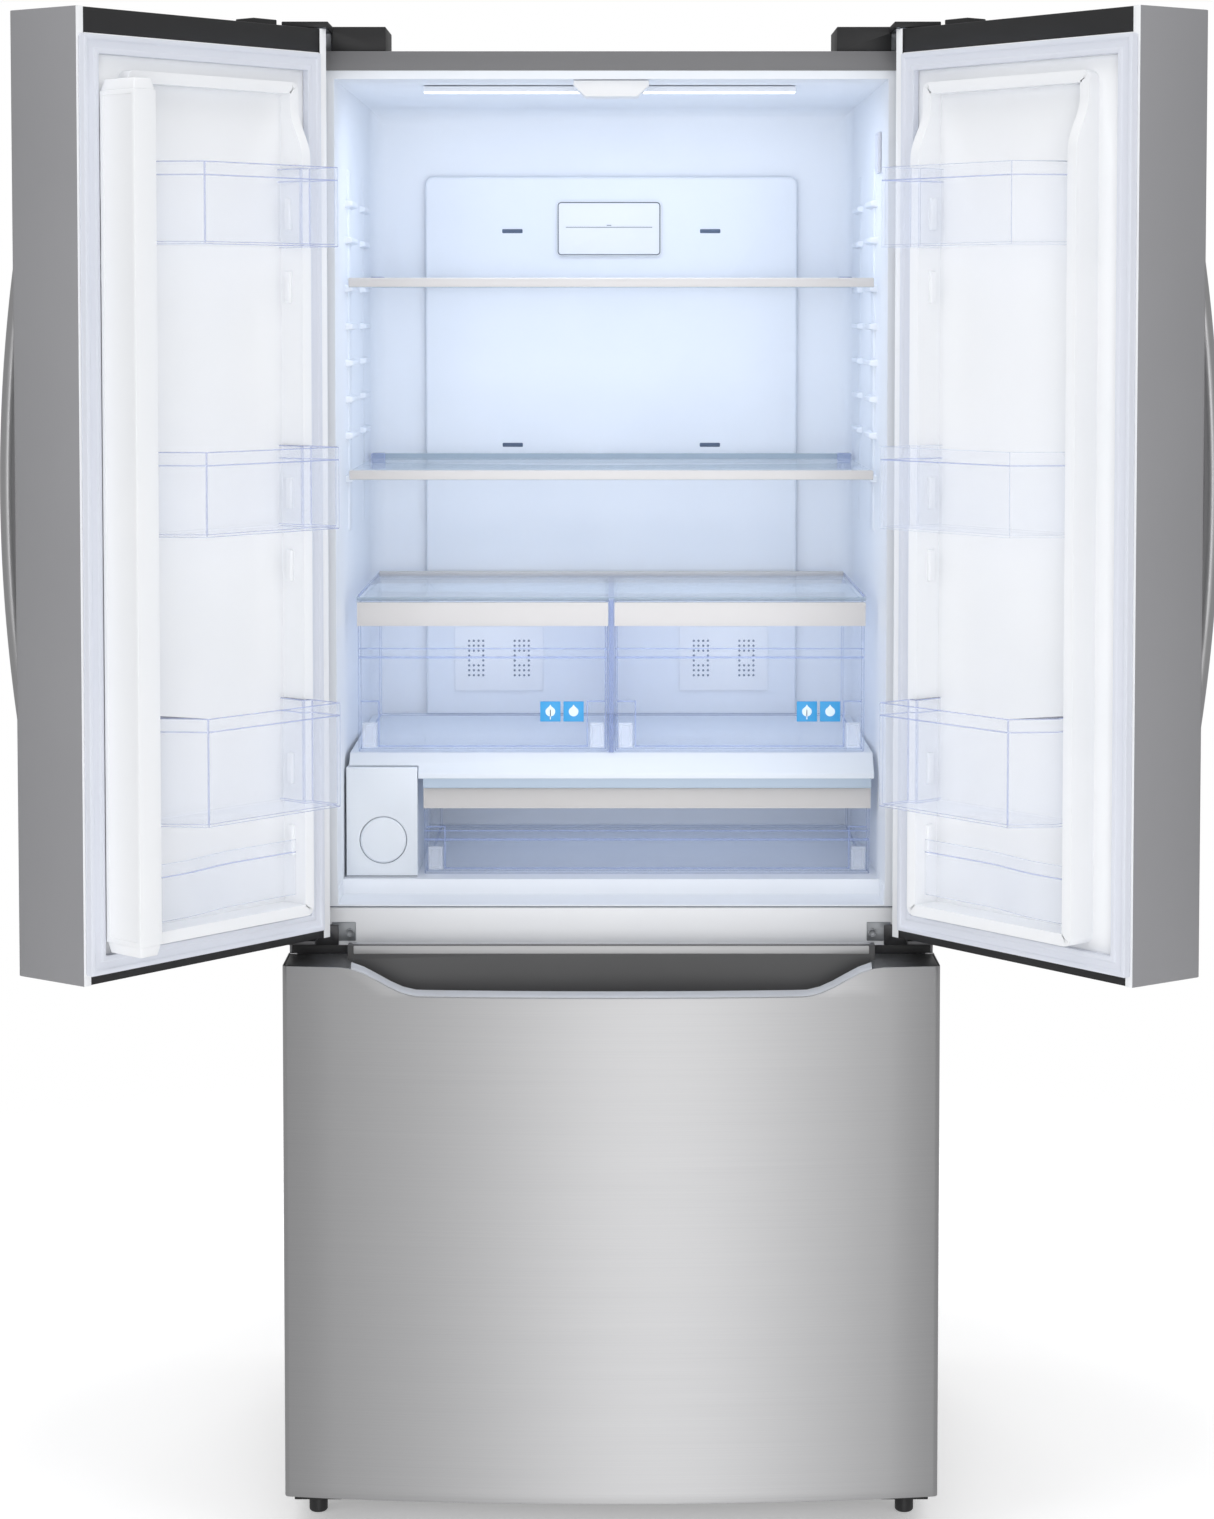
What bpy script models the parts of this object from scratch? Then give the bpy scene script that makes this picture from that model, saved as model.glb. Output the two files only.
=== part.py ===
"""French door refrigerator, its two doors standing open, over one freezer drawer.

Metres, +Z up. The object stands on z = 0 with its front towards -Y. Shapes are written with the
cabinet's front plane at y = 0, and an empty at the root sets the whole object back by FACE_Y.
A door is written in its closed place and turned open about its hinge axis by a parent empty:
u runs from its hinge edge to its free edge, v from its inner plane out to its front, and n from
its inner plane into the cabinet.
"""

import math

import bmesh
import bpy
from mathutils import Matrix, Vector

# Driving dimensions.
WIDTH = 0.756
CABINET_DEPTH = 0.605
CABINET_TOP = 1.728
DOOR_BOTTOM = 0.703
LEFT_OPEN = 131.0
RIGHT_OPEN = 129.5
FACE_Y = -0.126
HALF = WIDTH / 2

# Walls and fits.
TOUCH = 0.0003
STEEL = 0.0012
PLASTIC = 0.003
CLEAR = 0.0025
SLIDE_GAP = 0.0005
SEAL_GAP = 0.010

# Cabinet openings.
CABINET_BOTTOM = 0.045
TOP_BAND = 0.022
SIDE_RETURN = 0.003
FLANGE_HALF = HALF - SIDE_RETURN - TOUCH
CAVITY_WALL = 0.0565
CAVITY_HALF = HALF - CAVITY_WALL
CAVITY_DEPTH = CABINET_DEPTH - 0.120
CAVITY_DRAFT = 0.004
CAVITY_TOP = CABINET_TOP - 0.032
CAVITY_FLOOR = DOOR_BOTTOM + 0.046
CAVITY_FILLET = 0.022
SILL_BOTTOM = DOOR_BOTTOM + 0.025
SILL_FLOOR = SILL_BOTTOM + PLASTIC
SILL_DEPTH = 0.070
RAIL_BOTTOM = DOOR_BOTTOM - 0.043
RAIL_DEPTH = 0.035
FREEZER_TOP = RAIL_BOTTOM - 0.008
FREEZER_FLOOR = 0.095
FREEZER_DEPTH = CABINET_DEPTH - 0.205

# Doors.
DOOR_TOP = CABINET_TOP + 0.021
DOOR_HEIGHT = DOOR_TOP - DOOR_BOTTOM
SIDE_THICK = 0.078
BOW = 0.024
FREE_OUT = HALF - 0.004
FREE_IN = HALF - 0.013
CORNER = 0.006
LIP = 0.010
TOP_CAP = 0.027
BOTTOM_CAP = 0.009
GASKET_WIDE = 0.026
GASKET_NARROW = 0.019
GASKET_EDGE = 0.0115
GASKET_BAND = 0.022
DIKE_U0 = 0.059
DIKE_U1 = HALF - 0.070
DIKE_HEIGHT = 0.035
DIKE_WALL = 0.013
DIKE_BOTTOM = DOOR_BOTTOM + 0.039
DIKE_TOP = CAVITY_TOP - 0.012
RECESS = 0.017
RETAINER_HEIGHT = 0.080
RETAINER_N = (0.024, 0.027)

# Hinges: the axis is AXIS_U from the door's hinge edge and AXIS_V before its inner plane.
AXIS_U = 0.017
AXIS_V = 0.032
AXIS_X = HALF - AXIS_U
AXIS_Y = -SEAL_GAP - AXIS_V
PIN = 0.005
PIN_CLEAR = 0.0006
HINGE_PLATE = 0.0035
HINGE_REACH = 0.045
HINGE_FOOT = (0.030, 0.095)
HOOD_HALF = AXIS_U + 0.021
COVER_WIDTH = 0.114
COVER_WALL = 0.0022
COVER_TOP = DOOR_TOP + 0.008
LUG_U = (0.062, 0.098)
LUG_V = (0.015, 0.045)

# Door bins: bottoms and tops above the door's bottom edge.
BIN_REACH = 0.085
BIN_U0 = 0.064
BIN_FREE_CUT = 0.031
BIN_WALL = 0.0025
BINS = {
    "lower": (0.168, 0.286),
    "middle": (DOOR_HEIGHT / 2 - 0.042, DOOR_HEIGHT / 2 + 0.050),
    "upper": (DOOR_HEIGHT - 0.251, DOOR_HEIGHT - 0.162),
}

# Handles: ends above the door's bottom edge.
HANDLE_U = HALF - 0.038
HANDLE_RADIUS = 0.009
HANDLE_ENDS = (DOOR_HEIGHT / 2 - 0.268, DOOR_HEIGHT / 2 + 0.268)
HANDLE_POST = 0.022
HANDLE_STAND = 0.050

# Flipping mullion bar, folded back against the open left door.
BAR_U0 = HALF - 0.066
BAR_U1 = HALF - 0.036
BAR_DEPTH = 0.056
BAR_BOTTOM = SILL_FLOOR + 0.006
BAR_PIVOT_U = BAR_U1 + 0.003
BAR_PIVOT_N = SEAL_GAP - 0.002
GUIDE_DROP = 0.020
GUIDE_HALF = 0.044
BAR_TOP = CAVITY_TOP - GUIDE_DROP - 0.0035

# Fresh food fittings. Their fronts keep clear of the closed doors' bins.
DECK_FRONT = BIN_REACH - SEAL_GAP + 0.007
SHELF_FRONT = DECK_FRONT + 0.013
CRISPER_FRONT = DECK_FRONT + 0.018
DUCT_FRONT = CAVITY_DEPTH - 0.015
FITTING_BACK = DUCT_FRONT - 0.001
DUCT_HALF = HALF - 0.1345
DUCT_TOP = CABINET_TOP - 0.124
GLASS = 0.005
SHELF_HALF = CAVITY_HALF - 0.008
DECK_TOP = CAVITY_FLOOR + 0.1475
DECK_HALF = CAVITY_HALF - 0.0065
DECK_DROP = 0.0285
CRISPER_TOP = DECK_TOP + 0.187
CRISPER_HALF = CAVITY_HALF - 0.0165
CRISPER_GAP = 0.0042
CRISPER_TRIM = 0.027
SHELVES = {"middle_shelf": CRISPER_TOP + 0.1525, "upper_shelf": CRISPER_TOP + 0.3825}
BOX_DEPTH = DUCT_FRONT - CRISPER_FRONT - 0.013
FILTER_X = (0.004 - CAVITY_HALF, 0.089 - CAVITY_HALF)
FILTER_TOP = DECK_TOP - 0.015
FILTER_CENTRE = (0.0481 - CAVITY_HALF, CAVITY_FLOOR + 0.0452)
FILTER_RADIUS = 0.0277
DELI_X = (FILTER_X[1] + 0.007, CAVITY_HALF - 0.010)
DELI_TOP = CAVITY_FLOOR + 0.107
DELI_TRIM = 0.025

# Freezer drawer.
DRAWER_BOTTOM = 0.0565
DRAWER_TOP = DOOR_BOTTOM - 0.0265
POCKET_HALF = HALF - 0.066
POCKET_FLAT = HALF - 0.159
POCKET_DROP = 0.0325
GRIP_HALF = HALF - 0.078
GRIP_DEPTH = 0.0465
GRIP_BACK_V = (SIDE_THICK - 0.058, SIDE_THICK - 0.042)
GRIP_WALL_TOP = DRAWER_TOP + 0.016
INNER_FRAME_HALF = CAVITY_HALF - 0.0195
INNER_FRAME_WALL = 0.012
INNER_FRAME_HEIGHT = 0.026
SEAL_HALF = HALF - 0.016
CARRIAGE_HALF = CAVITY_HALF - 0.0155
CARRIAGE_WALL = 0.005
CARRIAGE_BACK = FREEZER_DEPTH - 0.008
CARRIAGE_Z = (0.300, 0.490)
CARRIAGE_LEDGE = 0.004
BASKET_HALF = CARRIAGE_HALF - 0.014
BASKET_RIM = 0.0045
BASKETS = {
    "lower_basket": (0.100, CARRIAGE_Z[0] + CARRIAGE_LEDGE, CARRIAGE_HALF - 0.0065),
    "upper_basket": (0.400, CARRIAGE_Z[1], CARRIAGE_HALF - 0.0005),
}

# Base and machine compartment.
TRAY = 0.003
ROLLER_RADIUS = 0.020
ROLLER_HALF = 0.011
ROLLER_AT = (HALF - 0.038, CABINET_DEPTH - 0.065)
AXLE = 0.003
FOOT_AT = (HALF - 0.029, 0.020)
FOOT_RADIUS = 0.011
FOOT_SCREW = 0.004
FOOT_PLATE_X = (HALF - 0.062, HALF - 0.007)
MACHINE_Y = CABINET_DEPTH - 0.096
COMPRESSOR_X = 0.150
COMPRESSOR_RADIUS = 0.075

FINISHES = {
    "steel": ((0.30, 0.30, 0.31), 0.32, 1.0),
    "grey_paint": ((0.17, 0.17, 0.175), 0.45, 0.0),
    "galvanised": ((0.45, 0.46, 0.47), 0.5, 1.0),
    "white_plastic": ((0.78, 0.82, 0.88), 0.38, 0.0),
    "clear_plastic": ((0.62, 0.72, 0.88), 0.1, 0.0),
    "beige_trim": ((0.62, 0.58, 0.54), 0.4, 0.0),
    "gasket": ((0.55, 0.57, 0.64), 0.6, 0.0),
    "black_plastic": ((0.02, 0.02, 0.022), 0.45, 0.0),
    "glass": ((0.70, 0.80, 0.86), 0.05, 0.0),
    "copper": ((0.55, 0.27, 0.14), 0.4, 1.0),
    "aluminium": ((0.70, 0.70, 0.72), 0.4, 1.0),
    "rubber": ((0.03, 0.03, 0.03), 0.8, 0.0),
}


def clear_scene():
    """Empties the scene and makes the collections for the parts and the cutters."""
    for obj in list(bpy.data.objects):
        bpy.data.objects.remove(obj, do_unlink=True)
    made = []
    for name in ("french_door_refrigerator", "cutters"):
        collection = bpy.data.collections.new(name)
        bpy.context.scene.collection.children.link(collection)
        made.append(collection)
    return made


PARTS, CUTTERS = clear_scene()
ROOT = bpy.data.objects.new("refrigerator_root", None)
PARTS.objects.link(ROOT)
ROOT.location = (0, FACE_Y, 0)


def as_part(obj, finish):
    """Puts a shape among the parts under the root, with a material of its own."""
    if obj.name not in PARTS.objects:
        PARTS.objects.link(obj)
    obj.parent = ROOT
    colour, roughness, metallic = FINISHES[finish]
    material = bpy.data.materials.new(obj.name + "_" + finish)
    material.use_nodes = True
    shader = material.node_tree.nodes["Principled BSDF"]
    shader.inputs["Base Color"].default_value = (*colour, 1)
    shader.inputs["Roughness"].default_value = roughness
    shader.inputs["Metallic"].default_value = metallic
    obj.data.materials.clear()
    obj.data.materials.append(material)
    return obj


def from_bmesh(name, bm):
    """A loose object that holds the finished bmesh."""
    mesh = bpy.data.meshes.new(name)
    bm.to_mesh(mesh)
    bm.free()
    return bpy.data.objects.new(name, mesh)


def add_cube(bm, x, y, z):
    """Adds one box to a bmesh. x, y and z are pairs in either order. Returns its vertices."""
    centre = Vector((sum(x) / 2, sum(y) / 2, sum(z) / 2))
    size = Vector((abs(x[1] - x[0]), abs(y[1] - y[0]), abs(z[1] - z[0])))
    matrix = Matrix.Translation(centre) @ Matrix.Diagonal((*size, 1))
    return bmesh.ops.create_cube(bm, size=1.0, matrix=matrix)["verts"]


def boxes(name, *spans):
    """One object of one or more separate boxes, each given as its x, y and z spans."""
    bm = bmesh.new()
    for span in spans:
        add_cube(bm, *span)
    return from_bmesh(name, bm)


def drafted_box(name, half, y, z, draft, fillet):
    """A box whose sides and top close in by the draft at its far end, where its edges are round."""
    bm = bmesh.new()
    add_cube(bm, (-half, half), y, z)
    far = max(y)
    for vert in bm.verts:
        if vert.co.y > far - 1e-6:
            vert.co.x -= math.copysign(draft, vert.co.x)
            vert.co.z -= draft / 2 if vert.co.z > sum(z) / 2 else 0
    bm.edges.ensure_lookup_table()
    round_edges = [
        e for e in bm.edges
        if all(v.co.y > far - 1e-6 for v in e.verts)
        and (abs(e.verts[0].co.x - e.verts[1].co.x) < 1e-6 or e.verts[0].co.z > sum(z) / 2)
    ]
    bmesh.ops.bevel(bm, geom=round_edges, offset=fillet, segments=3, profile=0.5, affect="EDGES")
    return from_bmesh(name, bm)


def rod(name, start, end, radius, sides=20):
    """A closed cylinder from start to end."""
    start, end = Vector(start), Vector(end)
    run = end - start
    turn = run.to_track_quat("Z", "Y").to_matrix().to_4x4()
    bm = bmesh.new()
    bmesh.ops.create_cone(
        bm, cap_ends=True, segments=sides, radius1=radius, radius2=radius, depth=run.length,
        matrix=Matrix.Translation((start + end) / 2) @ turn,
    )
    return from_bmesh(name, bm)


def to_mesh(obj):
    """The curve as a mesh with its caps welded on and its place in its mesh; the curve is removed."""
    bpy.context.scene.collection.objects.link(obj)
    bpy.context.view_layer.update()
    mesh = bpy.data.meshes.new_from_object(obj.evaluated_get(bpy.context.evaluated_depsgraph_get()))
    mesh.transform(obj.matrix_world)
    name = obj.name
    bpy.data.objects.remove(obj, do_unlink=True)
    bm = bmesh.new()
    bm.from_mesh(mesh)
    bpy.data.meshes.remove(mesh)
    bmesh.ops.remove_doubles(bm, verts=bm.verts, dist=1e-6)
    bmesh.ops.recalc_face_normals(bm, faces=bm.faces)
    return from_bmesh(name, bm)


AXIS_TURNS = {
    "X": Matrix(((0, 0, 1, 0), (1, 0, 0, 0), (0, 1, 0, 0), (0, 0, 0, 1))),
    "Y": Matrix.Rotation(math.radians(90), 4, "X"),
    "Z": Matrix.Identity(4),
}
AXIS_STEPS = {"X": Vector((1, 0, 0)), "Y": Vector((0, 1, 0)), "Z": Vector((0, 0, 1))}


def extruded(name, outline, span, axis="Z"):
    """A flat outline drawn out along an axis: (x, y) points along Z, (x, z) along Y, (y, z) along X."""
    curve = bpy.data.curves.new(name, "CURVE")
    curve.dimensions = "2D"
    curve.fill_mode = "BOTH"
    curve.extrude = abs(span[1] - span[0]) / 2
    spline = curve.splines.new("POLY")
    spline.points.add(len(outline) - 1)
    for point, (a, b) in zip(spline.points, outline):
        point.co = (a, b, 0, 1)
    spline.use_cyclic_u = True
    obj = bpy.data.objects.new(name, curve)
    obj.matrix_world = Matrix.Translation(AXIS_STEPS[axis] * sum(span) / 2) @ AXIS_TURNS[axis]
    return to_mesh(obj)


def tube(name, points, radius, closed=False):
    """A round bar along straight runs between the points."""
    curve = bpy.data.curves.new(name, "CURVE")
    curve.dimensions = "3D"
    curve.bevel_depth = radius
    curve.bevel_resolution = 2
    curve.use_fill_caps = True
    spline = curve.splines.new("POLY")
    spline.points.add(len(points) - 1)
    for point, place in zip(spline.points, points):
        point.co = (*place, 1)
    spline.use_cyclic_u = closed
    return to_mesh(bpy.data.objects.new(name, curve))


def turned(name, profile, base, axis, steps=32):
    """A profile of (radius, height) points, top to bottom, turned about an axis through base."""
    mesh = bpy.data.meshes.new(name)
    places = [(radius, 0, height) for radius, height in profile]
    mesh.from_pydata(places, [(i, i + 1) for i in range(len(places) - 1)], [])
    obj = bpy.data.objects.new(name, mesh)
    screw = obj.modifiers.new("turn", "SCREW")
    screw.steps = screw.render_steps = steps
    screw.use_merge_vertices = True
    screw.merge_threshold = 0.00001
    turn = AXIS_STEPS[axis].to_track_quat("Z", "Y").to_matrix().to_4x4()
    obj.matrix_world = Matrix.Translation(base) @ turn
    return to_mesh(obj)


def ribbon(points, thickness):
    """The closed outline of a strip of even thickness to the left of an open path."""
    inner = []
    for i, (x, y) in enumerate(points):
        before = Vector(points[i]) - Vector(points[i - 1]) if i else None
        after = Vector(points[i + 1]) - Vector(points[i]) if i + 1 < len(points) else None
        normals = [Vector((-d.y, d.x)).normalized() for d in (before, after) if d is not None]
        mean = sum(normals, Vector((0, 0))).normalized()
        reach = thickness / mean.dot(normals[0])
        inner.append((x + mean.x * reach, y + mean.y * reach))
    return list(points) + inner[::-1]


def combine(target, tool, operation):
    """Adds an exact Boolean of the tool, which moves with its target, to the target."""
    if tool.name not in CUTTERS.objects:
        CUTTERS.objects.link(tool)
    tool.parent = target
    tool.hide_render = True
    tool.display_type = "WIRE"
    modifier = target.modifiers.new(operation.lower(), "BOOLEAN")
    modifier.operation = operation
    modifier.solver = "EXACT"
    modifier.object = tool
    return target


def cut(target, *tools):
    """Takes the tools out of the target."""
    for tool in tools:
        combine(target, tool, "DIFFERENCE")
    return target


def join(target, *tools):
    """Joins the tools to the target as one body."""
    for tool in tools:
        combine(target, tool, "UNION")
    return target


def mount(name, pivot, parts, degrees=0.0, parent=None):
    """Hangs parts on an empty at the pivot and turns them about the vertical through it."""
    empty = bpy.data.objects.new(name + "_pivot", None)
    PARTS.objects.link(empty)
    base = Vector(parent["pivot"]) if parent else Vector((0, 0, 0))
    empty.parent = parent or ROOT
    empty["pivot"] = pivot
    empty.location = Vector(pivot) - base
    empty.rotation_euler = (0, 0, math.radians(degrees))
    for part in parts:
        part.parent = empty
        part.location = -Vector(pivot)
    return empty


def bow(x):
    """How far the bowed front stands before the inner plane, at this distance from the middle."""
    return SIDE_THICK + BOW * (1 - (x / HALF) ** 2)


def arc(centre, radius, start, end, steps=3):
    """Points on an arc, from start to end in degrees, both included."""
    turns = [math.radians(start + (end - start) * i / steps) for i in range(steps + 1)]
    return [(centre[0] + radius * math.cos(t), centre[1] + radius * math.sin(t)) for t in turns]


def span_u(side, u0, u1):
    """The x span, in the closed place, between two distances from the hinge edge."""
    return tuple(sorted((side * (HALF - u0), side * (HALF - u1))))


def span_n(n0, n1):
    """The y span between two heights above the door's inner plane."""
    return (n0 - SEAL_GAP, n1 - SEAL_GAP)


# Cabinet ---------------------------------------------------------------------------------------


def cabinet_shell():
    """Sheet steel top and sides, with a band across the front top and narrow side returns."""
    shell = boxes("cabinet_shell", ((-HALF, HALF), (0, CABINET_DEPTH), (CABINET_BOTTOM, CABINET_TOP)))
    inner = HALF - STEEL
    window = HALF - SIDE_RETURN
    hollow = boxes("cut_shell", ((-inner, inner), (STEEL, 1), (0, CABINET_TOP - STEEL)))
    front = boxes("cut_front", ((-window, window), (-0.1, 0.1), (0, CABINET_TOP - TOP_BAND)))
    return as_part(cut(shell, hollow, front), "steel")


def rear_panel():
    """Flat back with a block of air slots over the machine compartment."""
    half = HALF - 0.006
    y = (CABINET_DEPTH + TOUCH, CABINET_DEPTH + TOUCH + STEEL)
    panel = boxes("rear_panel", ((-half, half), y, (CABINET_BOTTOM + 0.005, CABINET_TOP - 0.004)))
    slots = [
        ((side * x0, side * (x0 + 0.10)), (y[0] - 0.01, y[1] + 0.01), (z, z + 0.008))
        for side in (-1, 1) for x0 in (0.08, 0.20) for z in (0.09, 0.12, 0.15, 0.18)
    ]
    return as_part(cut(panel, boxes("cut_slots", *slots)), "galvanised")


def base_frame():
    """Steel tray under the cabinet, with front foot plates and rear roller forks."""
    inner = HALF - STEEL - TOUCH
    tray_z = (CABINET_BOTTOM, CABINET_BOTTOM + TRAY)
    tray = boxes("base_frame", ((-inner, inner), (0.006, CABINET_DEPTH - 0.002), tray_z))
    for side in (-1, 1):
        plate_x = [side * x for x in FOOT_PLATE_X]
        plate = boxes("foot_plate", (plate_x, (-0.045, 0.060), (0.037, CABINET_BOTTOM + 0.002)))
        at = (side * FOOT_AT[0], FOOT_AT[1])
        bore = rod("cut_foot", (*at, 0), (*at, 0.1), FOOT_SCREW + PIN_CLEAR, 16)
        x, y = ROLLER_AT
        near = ROLLER_HALF + 0.001
        fork = [
            ((side * (x + a), side * (x + b)), (y - 0.012, y + 0.012), (0.012, tray_z[1] - 0.001))
            for a, b in ((-near - 0.004, -near), (near, near + 0.004))
        ]
        ends = [(side * (x + reach), y, ROLLER_RADIUS) for reach in (-near - 0.002, near + 0.002)]
        axle = rod("axle", *ends, AXLE, 12)
        join(tray, plate, boxes("fork_inner", fork[0]), boxes("fork_outer", fork[1]), axle)
        cut(tray, bore)
    return as_part(tray, "black_plastic")


def fresh_food_liner():
    """Moulded white liner with its front flange, a drafted cavity and a lowered sill."""
    flange_z = (SILL_BOTTOM, CABINET_TOP - TOP_BAND - TOUCH)
    liner = boxes("fresh_food_liner", ((-FLANGE_HALF, FLANGE_HALF), (TOUCH, PLASTIC), flange_z))
    body = drafted_box(
        "liner_body", CAVITY_HALF + PLASTIC, (TOUCH, CAVITY_DEPTH + PLASTIC),
        (CAVITY_FLOOR - PLASTIC, CAVITY_TOP + PLASTIC), CAVITY_DRAFT, CAVITY_FILLET + PLASTIC,
    )
    sill_half = CAVITY_HALF + PLASTIC - 0.0005
    sill = boxes("sill", ((-sill_half, sill_half), (TOUCH, SILL_DEPTH + PLASTIC),
                          (SILL_BOTTOM, CAVITY_FLOOR - 0.0005)))
    join(liner, body, sill)
    cavity = drafted_box(
        "cut_cavity", CAVITY_HALF, (-0.010, CAVITY_DEPTH), (CAVITY_FLOOR, CAVITY_TOP),
        CAVITY_DRAFT, CAVITY_FILLET,
    )
    step_half = CAVITY_HALF - 0.001
    step = boxes("cut_step", ((-step_half, step_half), (-0.010, SILL_DEPTH),
                              (SILL_FLOOR, CAVITY_FLOOR + 0.010)))
    return as_part(cut(liner, cavity, step), "white_plastic")


def freezer_liner():
    """Moulded white liner of the lower compartment, with its front flange."""
    liner = boxes("freezer_liner", ((-FLANGE_HALF, FLANGE_HALF), (TOUCH, PLASTIC),
                                    (DRAWER_BOTTOM + 0.0055, RAIL_BOTTOM - TOUCH)))
    body = drafted_box(
        "freezer_body", CAVITY_HALF + PLASTIC, (TOUCH, FREEZER_DEPTH + PLASTIC),
        (FREEZER_FLOOR - PLASTIC, FREEZER_TOP + PLASTIC), CAVITY_DRAFT, CAVITY_FILLET + PLASTIC,
    )
    cavity = drafted_box(
        "cut_freezer", CAVITY_HALF, (-0.010, FREEZER_DEPTH), (FREEZER_FLOOR, FREEZER_TOP),
        CAVITY_DRAFT, CAVITY_FILLET,
    )
    return as_part(cut(join(liner, body), cavity), "white_plastic")


def centre_rail():
    """White crossbar between the two compartments, open at its back."""
    z = (RAIL_BOTTOM, SILL_BOTTOM - TOUCH)
    rail = boxes("centre_rail", ((-FLANGE_HALF, FLANGE_HALF), (TOUCH, RAIL_DEPTH), z))
    inner = FLANGE_HALF - PLASTIC
    hollow = boxes("cut_rail", ((-inner, inner), (PLASTIC, 0.1), (z[0] + PLASTIC, z[1] - PLASTIC)))
    return as_part(cut(rail, hollow), "white_plastic")


def air_duct_cover():
    """Panel on the liner's back with air slots above and grilles behind the crispers."""
    y = (DUCT_FRONT, CAVITY_DEPTH - TOUCH)
    z = (DECK_TOP + TOUCH, DUCT_TOP)
    cover = boxes("air_duct_cover", ((-DUCT_HALF, DUCT_HALF), y, z))
    inner = DUCT_HALF - PLASTIC
    hollow = boxes("cut_duct", ((-inner, inner), (y[0] + PLASTIC, 1), (z[0] + PLASTIC, z[1] - PLASTIC)))
    through = (y[0] - 0.01, y[0] + 0.01)
    slots = [
        ((side * 0.116, side * 0.143), through, (height, height + 0.006))
        for side in (-1, 1) for height in (DUCT_TOP - 0.074, SHELVES["middle_shelf"] + 0.014)
    ]
    grilles = [
        ((side * 0.100, side * 0.205), through, (low, low + 0.006))
        for side in (-1, 1) for low in (DECK_TOP + 0.0355 + 0.014 * i for i in range(6))
    ]
    return as_part(cut(cover, hollow, boxes("cut_air", *slots, *grilles)), "white_plastic")


def air_filter_cover():
    """Small framed cover over the air filter, with side gaps for the air."""
    z = (DUCT_TOP - 0.104, DUCT_TOP - 0.032)
    cover = boxes("air_filter_cover", ((-0.0715, 0.0655), (DUCT_FRONT - 0.0075, DUCT_FRONT - TOUCH), z))
    face = boxes("cut_face", ((-0.0685, 0.0625), (0.40, DUCT_FRONT - 0.006), (z[0] + 0.003, z[1] - 0.003)))
    return as_part(cut(cover, face), "white_plastic")


def ceiling_light():
    """Lamp lens across the ceiling."""
    z = (CAVITY_TOP - 0.0085, CAVITY_TOP - 0.0018)
    lens = boxes("ceiling_light", ((-0.223, 0.219), (0.090, 0.122), z))
    return as_part(lens, "glass")


def mullion_guide():
    """Block on the ceiling whose slot catches the top of the mullion bar and turns it."""
    top = CAVITY_TOP - 0.0010
    low = CAVITY_TOP - GUIDE_DROP
    wide, narrow = GUIDE_HALF, GUIDE_HALF - 0.014
    outline = [(-wide, top), (-wide, top - 0.006), (-narrow, low)]
    outline += [(-x, z) for x, z in reversed(outline)]
    guide = extruded("mullion_guide", outline, (0.006, 0.050), "Y")
    groove = boxes("cut_groove", ((-0.020, 0.006), (0.016, 0.024), (low - 0.01, low + 0.008)))
    return as_part(cut(guide, groove), "white_plastic")


def top_hinge(side, name):
    """Steel hinge plate over the door's top, on a foot on the cabinet, with its pin."""
    x = side * AXIS_X
    plate_z = (DOOR_TOP + 0.0018, DOOR_TOP + 0.0018 + HINGE_PLATE)
    plate_x = (side * (AXIS_X - HOOD_HALF + 0.004), side * (HALF - 0.006))
    plate = boxes(name, (plate_x, (AXIS_Y - 0.010, HINGE_FOOT[1] + 0.005), plate_z))
    foot_x = (side * (AXIS_X - HINGE_REACH - 0.010), side * (HALF - 0.009))
    foot = boxes("hinge_foot", (foot_x, HINGE_FOOT, (CABINET_TOP + TOUCH, plate_z[1] - 0.0005)))
    pin = rod("hinge_pin", (x, AXIS_Y, DOOR_TOP - TOP_CAP + 0.008), (x, AXIS_Y, plate_z[1] - 0.001), PIN)
    return as_part(join(plate, foot, pin), "galvanised")


def top_hinge_cover(side, name):
    """Plastic cover over the hinge: a box on the cabinet and a low hood over the plate."""
    outer = HALF - 0.002
    inner = HALF - 0.002 - COVER_WIDTH
    hood_inner = AXIS_X - HOOD_HALF
    wall = COVER_WALL
    y = (0.010, HINGE_FOOT[1] + 0.017)
    front = AXIS_Y - 0.014
    cover = boxes(name, ((side * inner, side * outer), y, (CABINET_TOP + TOUCH, COVER_TOP)))
    hood_z = (DOOR_TOP + 0.001, COVER_TOP)
    hood = boxes("hood", ((side * hood_inner, side * outer), (front, y[0] + 0.001), hood_z))
    below = (CABINET_TOP - 0.1, COVER_TOP - wall)
    inside = side * (outer - wall)
    hollow = boxes("cut_cover", ((side * (inner + wall), inside), (y[0] + wall, y[1] - wall), below))
    under = boxes("cut_hood", ((side * (hood_inner + wall), inside), (front + wall, y[0] + 0.010), below))
    return as_part(cut(join(cover, hood), hollow, under), "black_plastic")


def lower_hinge(side, name):
    """Steel bracket on the crossbar with an arm under the door and its pin."""
    x = side * AXIS_X
    outer = side * (HALF - 0.004)
    face = side * (AXIS_X - HINGE_REACH + 0.004)
    plate = boxes(name, ((face, outer), (-0.0038, -TOUCH), (DOOR_BOTTOM - 0.019, DOOR_BOTTOM + 0.005)))
    arm = boxes("hinge_arm", ((side * (AXIS_X - 0.018), outer), (AXIS_Y - 0.012, -TOUCH - 0.0002),
                              (DOOR_BOTTOM - 0.009, DOOR_BOTTOM - 0.004)))
    pin = rod("lower_pin", (x, AXIS_Y, DOOR_BOTTOM - 0.008), (x, AXIS_Y, DOOR_BOTTOM + 0.008), PIN)
    bolt_x = face + side * 0.0145
    bolt_z = DOOR_BOTTOM - 0.001
    bolt = rod("bolt", (bolt_x, -0.0075, bolt_z), (bolt_x, -0.003, bolt_z), 0.004, 12)
    return as_part(join(plate, arm, pin, bolt), "galvanised")


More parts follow.
